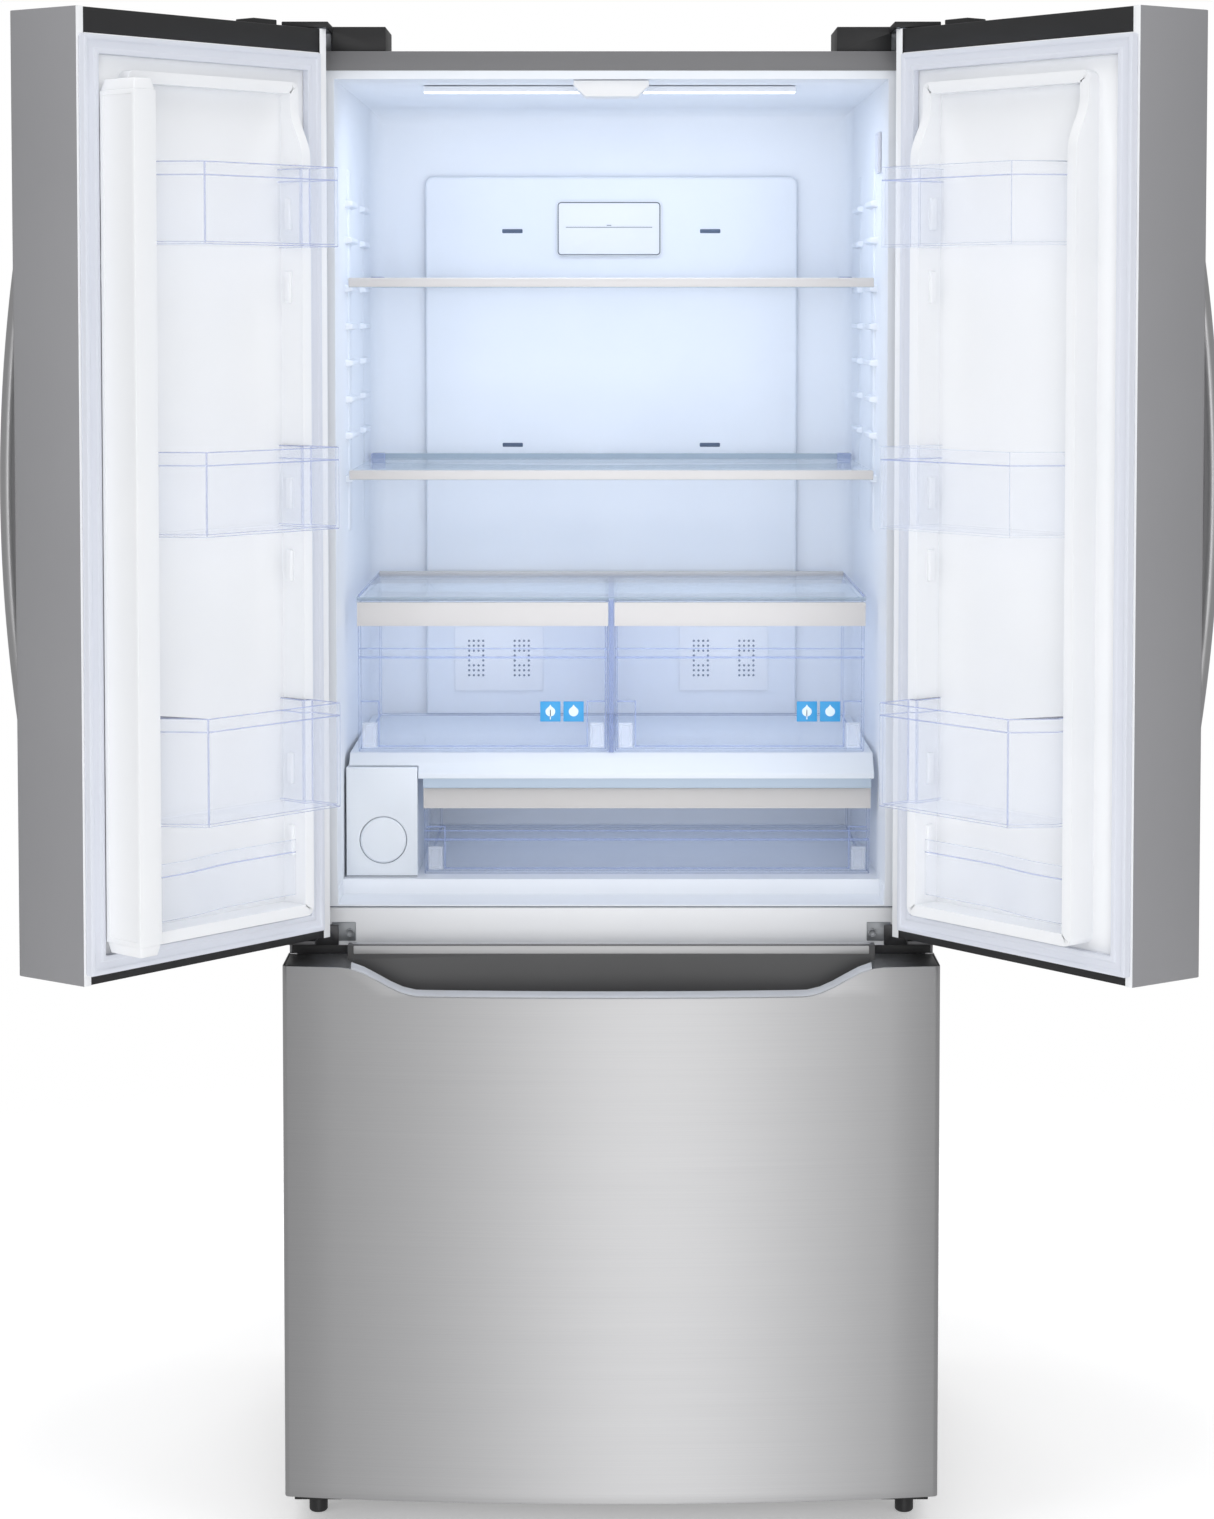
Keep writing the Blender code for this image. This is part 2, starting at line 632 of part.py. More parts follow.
# Doors -----------------------------------------------------------------------------------------


def door_path(side, inset=0.0):
    """The door's plan from its free inner corner round the front to its hinge inner corner."""
    def place(u, v):
        return (side * (HALF - u), -SEAL_GAP - v)

    front_free = bow(HALF - FREE_OUT)
    points = [place(FREE_IN - inset, inset), place(FREE_OUT - inset, front_free - CORNER)]
    corner = (FREE_OUT - CORNER - inset, front_free - CORNER - inset)
    points += [place(*p) for p in arc(corner, CORNER, 0, 90)][1:]
    steps = 8
    for i in range(1, steps):
        u = FREE_OUT - CORNER + (2 * CORNER - FREE_OUT) * i / steps
        points.append(place(u, bow(HALF - u) - inset))
    points += [place(*p) for p in arc((CORNER + inset, SIDE_THICK - CORNER - inset), CORNER, 90, 180)]
    points.append(place(inset, inset))
    return points


def door_panel(side, name):
    """Bowed sheet steel front with wrapped sides and a lip turned in along each inner edge."""
    path = door_path(side)
    path = [(side * (HALF - FREE_IN + LIP), path[0][1])] + path + [(side * (HALF - LIP), path[-1][1])]
    outline = ribbon(path, side * STEEL)
    return as_part(extruded(name, outline, (DOOR_BOTTOM, DOOR_TOP)), "steel")


def door_cap(side, name, z):
    """Plastic end cap inside the steel, bored for the hinge pin."""
    cap = extruded(name, door_path(side, STEEL + 0.0004), z)
    bottom = z[0] + (0.006 if z[1] == DOOR_TOP else -0.01)
    x = side * AXIS_X
    bore = rod("cut_bore", (x, AXIS_Y, bottom), (x, AXIS_Y, z[1] + 0.02), PIN + PIN_CLEAR)
    return cap, bore


def door_top_cap(side, name):
    """Top end cap with the raised stop lug beside the hinge."""
    cap, bore = door_cap(side, name, (DOOR_TOP - TOP_CAP, DOOR_TOP))
    lug_z = (DOOR_TOP - 0.004, COVER_TOP - 0.001)
    lug = boxes("lug", (span_u(side, *LUG_U), span_n(-LUG_V[1], -LUG_V[0]), lug_z))
    return as_part(cut(join(cap, lug), bore), "black_plastic")


def door_bottom_cap(side, name):
    """Thin bottom end cap."""
    cap, bore = door_cap(side, name, (DOOR_BOTTOM, DOOR_BOTTOM + BOTTOM_CAP))
    return as_part(cut(cap, bore), "black_plastic")


def door_liner(side, name):
    """Moulded inner panel: flat edge, raised dike, recess, bin supports and a bottom retainer."""
    z = (DOOR_BOTTOM + BOTTOM_CAP + TOUCH, DOOR_TOP - TOP_CAP - TOUCH)
    edge = span_u(side, LIP + 0.0006, FREE_IN - LIP - 0.0006)
    liner = boxes(name, (edge, span_n(-PLASTIC, 0), z))
    dike = boxes("dike", (span_u(side, DIKE_U0, DIKE_U1), span_n(-RECESS - PLASTIC, DIKE_HEIGHT),
                          (DIKE_BOTTOM, DIKE_TOP)))
    recess_u = (DIKE_U0 + DIKE_WALL, DIKE_U1 - DIKE_WALL)
    recess_z = (DIKE_BOTTOM + DIKE_WALL, DIKE_TOP - DIKE_WALL)
    recess = boxes("cut_recess", (span_u(side, *recess_u), span_n(-RECESS, 0.1), recess_z))
    cut(join(liner, dike), recess)
    retainer_u = (recess_u[0] - 0.002, recess_u[1] + 0.002)
    join(liner, boxes("retainer", (span_u(side, *retainer_u), span_n(*RETAINER_N),
                                   (recess_z[0] - 0.002, recess_z[0] + RETAINER_HEIGHT))))
    for bottom in (DOOR_BOTTOM + low for low, _ in BINS.values()):
        z = (bottom - 0.014, bottom - TOUCH)
        for u0 in (recess_u[0] - 0.002, recess_u[1] - 0.008):
            join(liner, boxes("bin_lug", (span_u(side, u0, u0 + 0.010), span_n(0.002, 0.026), z)))
    return as_part(liner, "white_plastic")


def door_gasket(side, name):
    """Magnetic seal round the door's inner edge, wide on the hinge side."""
    u = (AXIS_U + TOUCH, FREE_IN - 0.003)
    z = (DOOR_BOTTOM + GASKET_EDGE, DOOR_TOP - TOP_CAP - 0.0025)
    n = span_n(TOUCH, SEAL_GAP - TOUCH)
    ring = boxes(name, (span_u(side, *u), n, z))
    inner_u = (u[0] + GASKET_WIDE, u[1] - GASKET_NARROW)
    inner_z = (z[0] + GASKET_BAND, z[1] - GASKET_BAND)
    hole = boxes("cut_gasket", (span_u(side, *inner_u), span_n(-0.1, 0.1), inner_z))
    return as_part(cut(ring, hole), "gasket")


def door_handle(side, name):
    """Bowed bar handle on two posts."""
    x = side * (HALF - HANDLE_U)
    front = bow(HALF - HANDLE_U) + 2 * TOUCH
    low, high = (DOOR_BOTTOM + end for end in HANDLE_ENDS)
    points = [(x, front, low + HANDLE_RADIUS), (x, front + HANDLE_POST, low + HANDLE_RADIUS)]
    steps = 10
    for i in range(1, steps):
        t = i / steps
        reach = HANDLE_POST + (HANDLE_STAND - HANDLE_POST) * math.sin(math.pi * t) ** 0.8
        points.append((x, front + reach, low + HANDLE_RADIUS + (high - low - 2 * HANDLE_RADIUS) * t))
    points += [(x, front + HANDLE_POST, high - HANDLE_RADIUS), (x, front, high - HANDLE_RADIUS)]
    places = [(px, -SEAL_GAP - v, z) for px, v, z in points]
    return as_part(tube(name, places, HANDLE_RADIUS), "steel")


def bin_outline(side, inset=0.0):
    """Plan of a door bin, drawn in by the inset."""
    recess0 = DIKE_U0 + DIKE_WALL + CLEAR + inset
    recess1 = DIKE_U1 - DIKE_WALL - CLEAR - inset
    low = -RECESS + 0.001 + inset
    over = DIKE_HEIGHT + 0.004
    outline = [
        (recess0, low), (recess0, over - 0.002), (BIN_U0 + inset, over + inset),
        (BIN_U0 + inset, BIN_REACH - inset),
        (recess1 - BIN_FREE_CUT, BIN_REACH - inset), (recess1, over + inset), (recess1, low),
    ]
    return [(side * (HALF - u), n - SEAL_GAP) for u, n in outline]


def door_bin(side, name, z):
    """Clear moulded bin, open at the top, that hangs in the door's recess. z is above the door's bottom."""
    z = (DOOR_BOTTOM + z[0], DOOR_BOTTOM + z[1])
    outer = extruded(name, bin_outline(side), z)
    inner = extruded("cut_bin", bin_outline(side, BIN_WALL), (z[0] + BIN_WALL, z[1] + 0.05))
    return as_part(cut(outer, inner), "clear_plastic")


def mullion_bar(side):
    """Heated bar that flips across the gap between the closed doors."""
    bar = boxes("mullion_bar", (span_u(side, BAR_U0, BAR_U1), span_n(SEAL_GAP, SEAL_GAP + BAR_DEPTH),
                                (BAR_BOTTOM, BAR_TOP)))
    return as_part(bar, "white_plastic")


def door(side, word, degrees):
    """One whole door, turned open about its hinge axis. Returns its empty."""
    parts = [
        door_panel(side, word + "_door_panel"),
        door_top_cap(side, word + "_door_top_cap"),
        door_bottom_cap(side, word + "_door_bottom_cap"),
        door_liner(side, word + "_door_liner"),
        door_gasket(side, word + "_door_gasket"),
        door_handle(side, word + "_door_handle"),
    ]
    parts += [door_bin(side, word + "_" + level + "_bin", z) for level, z in BINS.items()]
    pivot = (side * AXIS_X, AXIS_Y, 0)
    return mount(word + "_door", pivot, parts, side * degrees)


# Fresh food fittings ---------------------------------------------------------------------------


def shelf(name, top):
    """Glass shelf with a thicker front trim and a rear stop trim."""
    back = FITTING_BACK
    plate = boxes(name, ((-SHELF_HALF, SHELF_HALF), (SHELF_FRONT, back), (top - GLASS, top)))
    trim_half = SHELF_HALF - 0.0005
    front = boxes("front_trim", ((-trim_half, trim_half), (SHELF_FRONT - 0.001, SHELF_FRONT + 0.009),
                                 (top - 0.010, top + 0.001)))
    rear_y = (back - 0.010, back - 0.0005)
    rear = boxes("rear_trim", ((-trim_half, trim_half), rear_y, (top - 0.007, top + 0.006)))
    return as_part(join(plate, front, rear), "glass")


def crisper_cover():
    """Glass over the crispers in its frame, with the wall that parts them."""
    half = CAVITY_HALF - 0.014
    back = FITTING_BACK
    plate_z = (CRISPER_TOP - GLASS, CRISPER_TOP)
    plate = boxes("crisper_cover", ((-half, half), (CRISPER_FRONT + 0.018, back), plate_z))
    wall = CRISPER_GAP - 0.0012
    divider = boxes("divider", ((-wall, wall), (CRISPER_FRONT + 0.002, back),
                                (DECK_TOP + SLIDE_GAP, CRISPER_TOP - 0.002)))
    return as_part(join(plate, divider), "glass")


def deck_panel():
    """White deck under the crispers: a plate with a sloped nose, notched over the filter."""
    half = DECK_HALF
    back = FITTING_BACK
    low = DECK_TOP - DECK_DROP
    nose = DECK_FRONT + 0.024
    outline = [
        (DECK_FRONT, low), (DECK_FRONT, DECK_TOP - 0.022), (nose, DECK_TOP), (back, DECK_TOP),
        (back, DECK_TOP - PLASTIC), (nose + 0.001, DECK_TOP - PLASTIC),
        (DECK_FRONT + PLASTIC, DECK_TOP - 0.023), (DECK_FRONT + PLASTIC, low),
    ]
    deck = extruded("deck_panel", outline, (-half, half), "X")
    notch = boxes("cut_notch", ((-WIDTH, FILTER_X[1] + 0.001), (0, 0.3), (low - 0.01, FILTER_TOP + 0.001)))
    return as_part(cut(deck, notch), "white_plastic")


def crisper(name, x):
    """Clear crisper drawer, open at the top, with a deep front trim."""
    z = (DECK_TOP + SLIDE_GAP, CRISPER_TOP - GLASS - 0.001)
    y = (CRISPER_FRONT, CRISPER_FRONT + BOX_DEPTH)
    drawer = boxes(name, (x, y, z))
    wall = BIN_WALL
    below = (z[0] - 0.01, z[1] - CRISPER_TRIM)
    low_front = boxes("cut_front", ((min(x) - 0.01, max(x) + 0.01), (0, y[0] + 0.010), below))
    hollow = boxes("cut_hollow", ((min(x) + wall, max(x) - wall), (y[0] + 0.010 + wall, y[1] - wall),
                                  (z[0] + wall, z[1] + 0.1)))
    return as_part(cut(drawer, low_front, hollow), "clear_plastic")


def deli_drawer():
    """Wide shallow drawer under the deck, with its own front trim."""
    z = (CAVITY_FLOOR + SLIDE_GAP, DELI_TOP)
    y = (SHELF_FRONT, SHELF_FRONT + BOX_DEPTH)
    drawer = boxes("deli_drawer", (DELI_X, y, z))
    wall = BIN_WALL
    low_front = boxes("cut_front", ((DELI_X[0] - 0.01, DELI_X[1] + 0.01), (0, y[0] + 0.010),
                                    (z[0] - 0.01, z[1] - DELI_TRIM)))
    hollow = boxes("cut_hollow", ((DELI_X[0] + wall, DELI_X[1] - wall), (y[0] + 0.010 + wall, y[1] - wall),
                                  (z[0] + wall, z[1] + 0.1)))
    return as_part(cut(drawer, low_front, hollow), "clear_plastic")


def filter_housing():
    """Box beside the deli drawer, bored for the water filter cartridge."""
    y = (DECK_FRONT, DECK_FRONT + 0.268)
    housing = boxes("filter_housing", (FILTER_X, y, (CAVITY_FLOOR + TOUCH, FILTER_TOP)))
    x, z = FILTER_CENTRE
    bore = rod("cut_cartridge", (x, 0, z), (x, DECK_FRONT + 0.248, z), FILTER_RADIUS - 0.002, 32)
    seat = rod("cut_seat", (x, 0, z), (x, DECK_FRONT + 0.010, z), FILTER_RADIUS + 0.0008, 32)
    return as_part(cut(housing, bore, seat), "white_plastic")


def filter_cap():
    """Water filter cartridge with its round turning cap."""
    x, z = FILTER_CENTRE
    front = DECK_FRONT - 0.0025
    length = 0.230
    head = FILTER_RADIUS
    body = FILTER_RADIUS - 0.0035
    flange = 0.0115
    profile = [(0, length), (body, length), (body, flange), (head, flange), (head, 0.002), (head - 0.002, 0), (0, 0)]
    cap = turned("filter_cap", profile, (x, front, z), "Y")
    part = as_part(cap, "white_plastic")
    mount("filter_cap", (x, front, z), [part])
    return part


# Freezer drawer --------------------------------------------------------------------------------


def drawer_path(inset=0.0):
    """The drawer front's plan from its right inner corner round the front to its left."""
    edge = HALF - inset
    points = [(edge, -SEAL_GAP - inset)]
    depth = SIDE_THICK - CORNER - inset
    points += [(x, -SEAL_GAP - v) for x, v in arc((edge - CORNER, depth), CORNER, 0, 90)]
    steps = 14
    for i in range(1, steps):
        x = (edge - CORNER) * (1 - 2 * i / steps)
        points.append((x, -SEAL_GAP - bow(x) + inset))
    points += [(x, -SEAL_GAP - v) for x, v in arc((CORNER - edge, depth), CORNER, 90, 180)]
    points.append((-edge, -SEAL_GAP - inset))
    return points


def pocket_cutter(name, y):
    """The hand pocket's outline, with a soft double curve at each end, drawn out along y."""
    rise = POCKET_HALF - POCKET_FLAT
    left = []
    steps = 8
    for i in range(steps + 1):
        t = i / steps
        left.append((-POCKET_HALF + rise * t, DRAWER_TOP - POCKET_DROP * (1 - math.cos(math.pi * t)) / 2))
    right = [(-x, z) for x, z in reversed(left)]
    outline = [(-POCKET_HALF, DRAWER_TOP + 0.05)] + left + right + [(POCKET_HALF, DRAWER_TOP + 0.05)]
    return extruded(name, outline, y, "Y")


def freezer_front():
    """Bowed sheet steel drawer front with turned-in lips, a floor, and the pocket cut in its top."""
    path = drawer_path()
    lips = [(HALF - LIP, path[0][1])] + path + [(LIP - HALF, path[-1][1])]
    front = extruded("freezer_front", ribbon(lips, -STEEL), (DRAWER_BOTTOM, DRAWER_TOP))
    floor = extruded("front_floor", drawer_path(STEEL / 2), (DRAWER_BOTTOM, DRAWER_BOTTOM + STEEL))
    pocket = pocket_cutter("cut_pocket", (-WIDTH, -SEAL_GAP - GRIP_BACK_V[1] - 0.009))
    return as_part(join(cut(front, pocket), floor), "steel")


def freezer_grip():
    """Dark plastic top of the drawer front: the hand pocket and its raised back wall."""
    z = (DRAWER_TOP - GRIP_DEPTH, DRAWER_TOP - 0.001)
    grip = extruded("freezer_grip", drawer_path(STEEL + 0.0004), z)
    outer = GRIP_HALF + 0.006
    near, far = GRIP_BACK_V
    back = boxes("back_wall", ((-outer, outer), span_n(-far, -near), (z[0] + 0.01, GRIP_WALL_TOP)))
    scoop_z = (z[0] + 0.004, z[1] + 0.1)
    scoop = boxes("cut_scoop", ((-GRIP_HALF, GRIP_HALF), span_n(-SIDE_THICK - 0.010, -far), scoop_z))
    lip = pocket_cutter("cut_lip", (-WIDTH, -SEAL_GAP - SIDE_THICK - 0.002))
    return as_part(cut(join(grip, back), scoop, lip), "black_plastic")


def freezer_inner_panel():
    """White inner panel of the drawer front with a raised frame."""
    half = HALF - LIP - 0.0006
    z = (DRAWER_BOTTOM + 0.004, DRAWER_TOP - 0.002)
    panel = boxes("freezer_inner_panel", ((-half, half), span_n(-PLASTIC / 2, 0), z))
    half, wall = INNER_FRAME_HALF, INNER_FRAME_WALL
    low, high = FREEZER_FLOOR + 0.020, FREEZER_TOP - 0.024
    raised = boxes("raised", ((-half, half), span_n(-0.001, INNER_FRAME_HEIGHT), (low, high)))
    hollow = boxes("cut_raised", ((wall - half, half - wall), span_n(0.004, 0.1), (low + wall, high - wall)))
    return as_part(cut(join(panel, raised), hollow), "white_plastic")


def freezer_gasket():
    """Magnetic seal round the drawer front's back."""
    z = (DRAWER_BOTTOM + 0.010, DRAWER_TOP - 0.004)
    inner = SEAL_HALF - GASKET_BAND
    ring = boxes("freezer_gasket", ((-SEAL_HALF, SEAL_HALF), span_n(TOUCH, SEAL_GAP - TOUCH), z))
    hole = boxes("cut_gasket", ((-inner, inner), span_n(-0.1, 0.1), (z[0] + GASKET_BAND, z[1] - GASKET_BAND)))
    return as_part(cut(ring, hole), "gasket")


def freezer_carriage():
    """Steel frame behind the drawer front that carries both baskets."""
    half, wall = CARRIAGE_HALF, CARRIAGE_WALL
    y = (INNER_FRAME_HEIGHT + 0.0005 - SEAL_GAP, CARRIAGE_BACK)
    low, high = CARRIAGE_Z
    frame = boxes("freezer_carriage", ((-half, half), y, (low, high)))
    inside_y = (y[0] + wall, y[1] - wall)
    through = boxes("cut_through", ((wall - half, half - wall), inside_y, (low + CARRIAGE_LEDGE, high + 0.1)))
    ledge = 2 * wall
    under = boxes("cut_under", ((ledge - half, half - ledge), (y[0] + ledge, y[1] - ledge), (0, low + 0.010)))
    windows = boxes("cut_windows", ((-1, 1), (y[0] + 0.030, y[1] - 0.030), (low + 0.022, high - 0.022)))
    back = boxes("cut_back", ((0.030 - half, half - 0.030), (y[1] - 0.05, 1), (low + 0.022, high - 0.022)))
    return as_part(cut(frame, through, under, windows, back), "galvanised")


def basket(name, bottom, rim, edge):
    """Plastic basket whose rim rests on a ledge of the carriage. edge is half the rim's width."""
    half = BASKET_HALF
    y = (INNER_FRAME_HEIGHT + 0.006, CARRIAGE_BACK - 0.012)
    top = rim + BASKET_RIM
    body = boxes(name, ((-half, half), y, (bottom, top)))
    lip = boxes("rim", ((-edge, edge), (y[0], y[1]), (rim + TOUCH, top - 0.0002)))
    wall = BIN_WALL
    hollow = boxes("cut_hollow", ((wall - half, half - wall), (y[0] + wall, y[1] - wall), (bottom + wall, top + 0.1)))
    return as_part(cut(join(body, lip), hollow), "white_plastic")


# Machine compartment and base ------------------------------------------------------------------


def compressor():
    """Welded steel compressor can on the base tray."""
    radius = COMPRESSOR_RADIUS
    angles = [math.radians(a) for a in range(0, 91, 15)]
    dome = [(radius * math.sin(a), 0.105 + 0.045 * math.cos(a)) for a in angles]
    profile = dome + [(radius, 0.030), (radius - 0.020, 0.008), (radius - 0.020, 0), (0, 0)]
    x, y = COMPRESSOR_X, MACHINE_Y
    base = CABINET_BOTTOM + TRAY + TOUCH
    inside = rod("cut_can", (x, y, 0), (x, y, base + 0.115), radius - 0.025, 24)
    return as_part(cut(turned("compressor", profile, (x, y, base), "Z", 24), inside), "black_plastic")


def condenser_coil():
    """Serpentine tube beside the fan."""
    points = []
    for i in range(6):
        z = 0.075 + 0.022 * i
        ends = [(-0.230, MACHINE_Y, z), (-0.070, MACHINE_Y, z)]
        points += ends if i % 2 == 0 else ends[::-1]
    return as_part(tube("condenser_coil", points, 0.004), "copper")


def evaporator():
    """Finned block behind the freezer's back wall."""
    front = FREEZER_DEPTH + 0.025
    block = boxes("evaporator", ((-0.200, 0.200), (front, front + 0.050), (0.360, 0.560)))
    starts = [-0.185 + 0.035 * i for i in range(11)]
    gaps = [((x, x + 0.020), (front - 0.01, front + 0.040), (0.3, 0.6)) for x in starts]
    return as_part(cut(block, boxes("cut_fins", *gaps)), "aluminium")


def fan(name, centre, axis):
    """Fan rotor: a hub with five flat blades, turning about its axis."""
    step = AXIS_STEPS[axis] * 0.008
    centre = Vector(centre)
    rotor = rod(name, centre - step, centre + step, 0.014, 20)
    turn = AXIS_STEPS[axis].to_track_quat("Z", "Y").to_matrix().to_4x4()
    for i in range(5):
        blade = boxes("blade", ((0.010, 0.045), (-0.011, 0.011), (-0.001, 0.001)))
        pitch = Matrix.Rotation(math.radians(25), 4, "X")
        spin = Matrix.Rotation(math.radians(72 * i), 4, "Z")
        blade.data.transform(Matrix.Translation(centre) @ turn @ spin @ pitch)
        join(rotor, blade)
    part = as_part(rotor, "black_plastic")
    mount(name, centre, [part])
    return part


def roller(side, name):
    """Rear roller, bored for its axle."""
    x, y = ROLLER_AT
    sides = [(side * (x + reach), y, ROLLER_RADIUS) for reach in (-ROLLER_HALF, ROLLER_HALF)]
    beyond = [(side * (x + reach), y, ROLLER_RADIUS) for reach in (-0.03, 0.03)]
    wheel = rod(name, *sides, ROLLER_RADIUS, 28)
    bore = rod("cut_axle", *beyond, AXLE + PIN_CLEAR, 12)
    part = as_part(cut(wheel, bore), "rubber")
    mount(name, (side * x, y, ROLLER_RADIUS), [part])
    return part


def foot(side, name):
    """Levelling foot: a round pad on a screw."""
    radius = FOOT_RADIUS
    screw = FOOT_SCREW
    profile = [(0, 0.058), (screw, 0.058), (screw, 0.022), (radius - 0.002, 0.020), (radius, 0.016),
               (radius, 0.002),
               (radius - 0.002, 0), (0, 0)]
    base = (side * FOOT_AT[0], FOOT_AT[1], 0)
    part = as_part(turned(name, profile, base, "Z", 20), "black_plastic")
    mount(name, base, [part])
    return part


def build_cabinet():
    """Everything that is fixed to the cabinet."""
    cabinet_shell()
    rear_panel()
    base_frame()
    fresh_food_liner()
    freezer_liner()
    centre_rail()
    air_duct_cover()
    air_filter_cover()
    ceiling_light()
    mullion_guide()
    crisper_cover()
    deck_panel()
    filter_housing()
    compressor()
    condenser_coil()
    evaporator()
    for side, word in ((-1, "left"), (1, "right")):
        top_hinge(side, word + "_top_hinge")
        top_hinge_cover(side, word + "_top_hinge_cover")
        lower_hinge(side, word + "_lower_hinge")


def build_moving():
    """Everything that slides, swings or turns."""
    left = door(-1, "left", LEFT_OPEN)
    door(1, "right", RIGHT_OPEN)
    pivot = (BAR_PIVOT_U - HALF, BAR_PIVOT_N - SEAL_GAP, 0)
    mount("mullion_bar", pivot, [mullion_bar(-1)], 0.0, left)
    for name, top in SHELVES.items():
        mount(name, (0, SHELF_FRONT, top), [shelf(name, top)])
    for side, word in ((-1, "left"), (1, "right")):
        x = (side * CRISPER_GAP, side * CRISPER_HALF)
        at = (side * CRISPER_HALF, CRISPER_FRONT, DECK_TOP)
        mount(word + "_crisper", at, [crisper(word + "_crisper", x)])
        roller(side, word + "_rear_roller")
        foot(side, word + "_front_foot")
    mount("deli_drawer", (0, SHELF_FRONT, DELI_TOP), [deli_drawer()])
    filter_cap()
    drawer = [freezer_front(), freezer_grip(), freezer_inner_panel(), freezer_gasket(), freezer_carriage()]
    drawer += [basket(name, *z) for name, z in BASKETS.items()]
    mount("freezer_drawer", (0, 0, CARRIAGE_Z[0]), drawer)
    fan("evaporator_fan", (0, CABINET_DEPTH - 0.065, 0.460), "Y")
    fan("condenser_fan", (0.010, MACHINE_Y, 0.125), "X")


def main():
    """Builds the refrigerator."""
    build_cabinet()
    build_moving()


main()
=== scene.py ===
"""French door refrigerator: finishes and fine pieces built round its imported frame."""

import logging
import math
from dataclasses import dataclass, field
from enum import Enum
from typing import Any, Callable

import bpy
from mathutils import Matrix, Vector


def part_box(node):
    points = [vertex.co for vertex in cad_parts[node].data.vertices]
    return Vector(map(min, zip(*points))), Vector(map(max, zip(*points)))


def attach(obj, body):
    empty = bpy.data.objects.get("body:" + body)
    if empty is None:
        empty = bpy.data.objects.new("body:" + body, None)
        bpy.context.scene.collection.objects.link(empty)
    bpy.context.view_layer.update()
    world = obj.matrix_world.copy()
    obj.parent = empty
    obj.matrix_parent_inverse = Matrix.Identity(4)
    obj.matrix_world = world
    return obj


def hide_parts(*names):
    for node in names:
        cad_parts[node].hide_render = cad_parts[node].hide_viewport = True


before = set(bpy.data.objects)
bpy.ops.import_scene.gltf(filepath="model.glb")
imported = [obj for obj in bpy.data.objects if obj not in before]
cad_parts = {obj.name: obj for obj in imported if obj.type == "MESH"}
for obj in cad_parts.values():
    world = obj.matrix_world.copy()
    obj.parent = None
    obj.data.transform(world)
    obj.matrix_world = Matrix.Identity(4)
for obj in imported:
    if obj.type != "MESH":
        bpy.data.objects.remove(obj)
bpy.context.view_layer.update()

log = logging.getLogger("refrigerator")

# Metres, shared by the sub-assemblies: the case's front face and half its width, the gap that
# the door seals fill, the hinge axis inside a door, half the cavity's width, and a hair.
FACE_Y = -0.126
HALF = 0.378
SEAL_GAP = 0.010
AXIS_U = 0.017
AXIS_V = 0.032
CAVITY_HALF = 0.3215
TINY = 1e-4

Box = tuple[tuple[float, float], tuple[float, float], tuple[float, float]]


# Colour and nodes ------------------------------------------------------------------------------


def linear(colour: str) -> tuple[float, float, float, float]:
    """Turns an sRGB hex colour to linear RGBA.

    Args:
        colour: six hex digits after a number sign.

    Returns:
        Linear red, green, blue and an alpha of 1.
    """
    parts = [int(colour[i : i + 2], 16) / 255 for i in (1, 3, 5)]
    red, green, blue = (c / 12.92 if c <= 0.04045 else ((c + 0.055) / 1.055) ** 2.4 for c in parts)
    return red, green, blue, 1.0


def per_mm(size: float) -> float:
    """Texture scale whose features are about this many millimetres across."""
    return 1000 / size


def add_node(
    tree: bpy.types.NodeTree, kind: str, inputs: dict[str | int, Any] | None = None, **settings: Any
) -> bpy.types.Node:
    """Adds a node with its settings, values and links.

    Args:
        tree: the node tree it joins.
        kind: the node's type name.
        inputs: for each input, a value or the output socket that feeds it.
        settings: properties of the node itself.

    Returns:
        The new node.
    """
    node = tree.nodes.new(kind)
    for name, value in settings.items():
        setattr(node, name, value)
    for name, value in (inputs or {}).items():
        if isinstance(value, bpy.types.NodeSocket):
            tree.links.new(value, node.inputs[name])
        else:
            node.inputs[name].default_value = value
    return node


def start_material(name: str, **values: Any) -> tuple[bpy.types.Material, bpy.types.Node, Any]:
    """Starts a material with one principled shader.

    Args:
        name: the material's name.
        values: shader inputs, with spaces written as underscores.

    Returns:
        The material, its shader and the Object coordinate socket.
    """
    material = bpy.data.materials.new(name)
    material.use_nodes = True
    tree = material.node_tree
    tree.nodes.clear()
    shader = add_node(tree, "ShaderNodeBsdfPrincipled", {k.replace("_", " "): v for k, v in values.items()})
    add_node(tree, "ShaderNodeOutputMaterial", {"Surface": shader.outputs[0]})
    place = add_node(tree, "ShaderNodeTexCoord").outputs["Object"]
    return material, shader, place


def dress(
    shader: bpy.types.Node, tone: bpy.types.NodeSocket, grain: bpy.types.NodeSocket,
    colours: tuple[str, str], roughness: tuple[float, float], relief: tuple[float, float],
) -> None:
    """Gives a shader its mixed colour, uneven sheen and relief.

    Args:
        shader: the principled shader.
        tone: the texture that mixes the colours.
        grain: the texture of the sheen and the relief.
        colours: the two sRGB colours.
        roughness: its middle value, and how far it strays.
        relief: the bump's strength and depth.
    """
    tree = shader.id_data
    first, second = (linear(colour) for colour in colours)
    mixed = add_node(tree, "ShaderNodeMix", {0: tone, 6: first, 7: second}, data_type="RGBA")
    tree.links.new(mixed.outputs[2], shader.inputs["Base Color"])
    middle, stray = roughness
    limits = {"Value": grain, "To Min": middle - stray, "To Max": middle + stray}
    sheen = add_node(tree, "ShaderNodeMapRange", limits)
    tree.links.new(sheen.outputs[0], shader.inputs["Roughness"])
    strength, depth = relief
    bump = add_node(tree, "ShaderNodeBump", {"Strength": strength, "Distance": depth, "Height": grain})
    tree.links.new(bump.outputs[0], shader.inputs["Normal"])


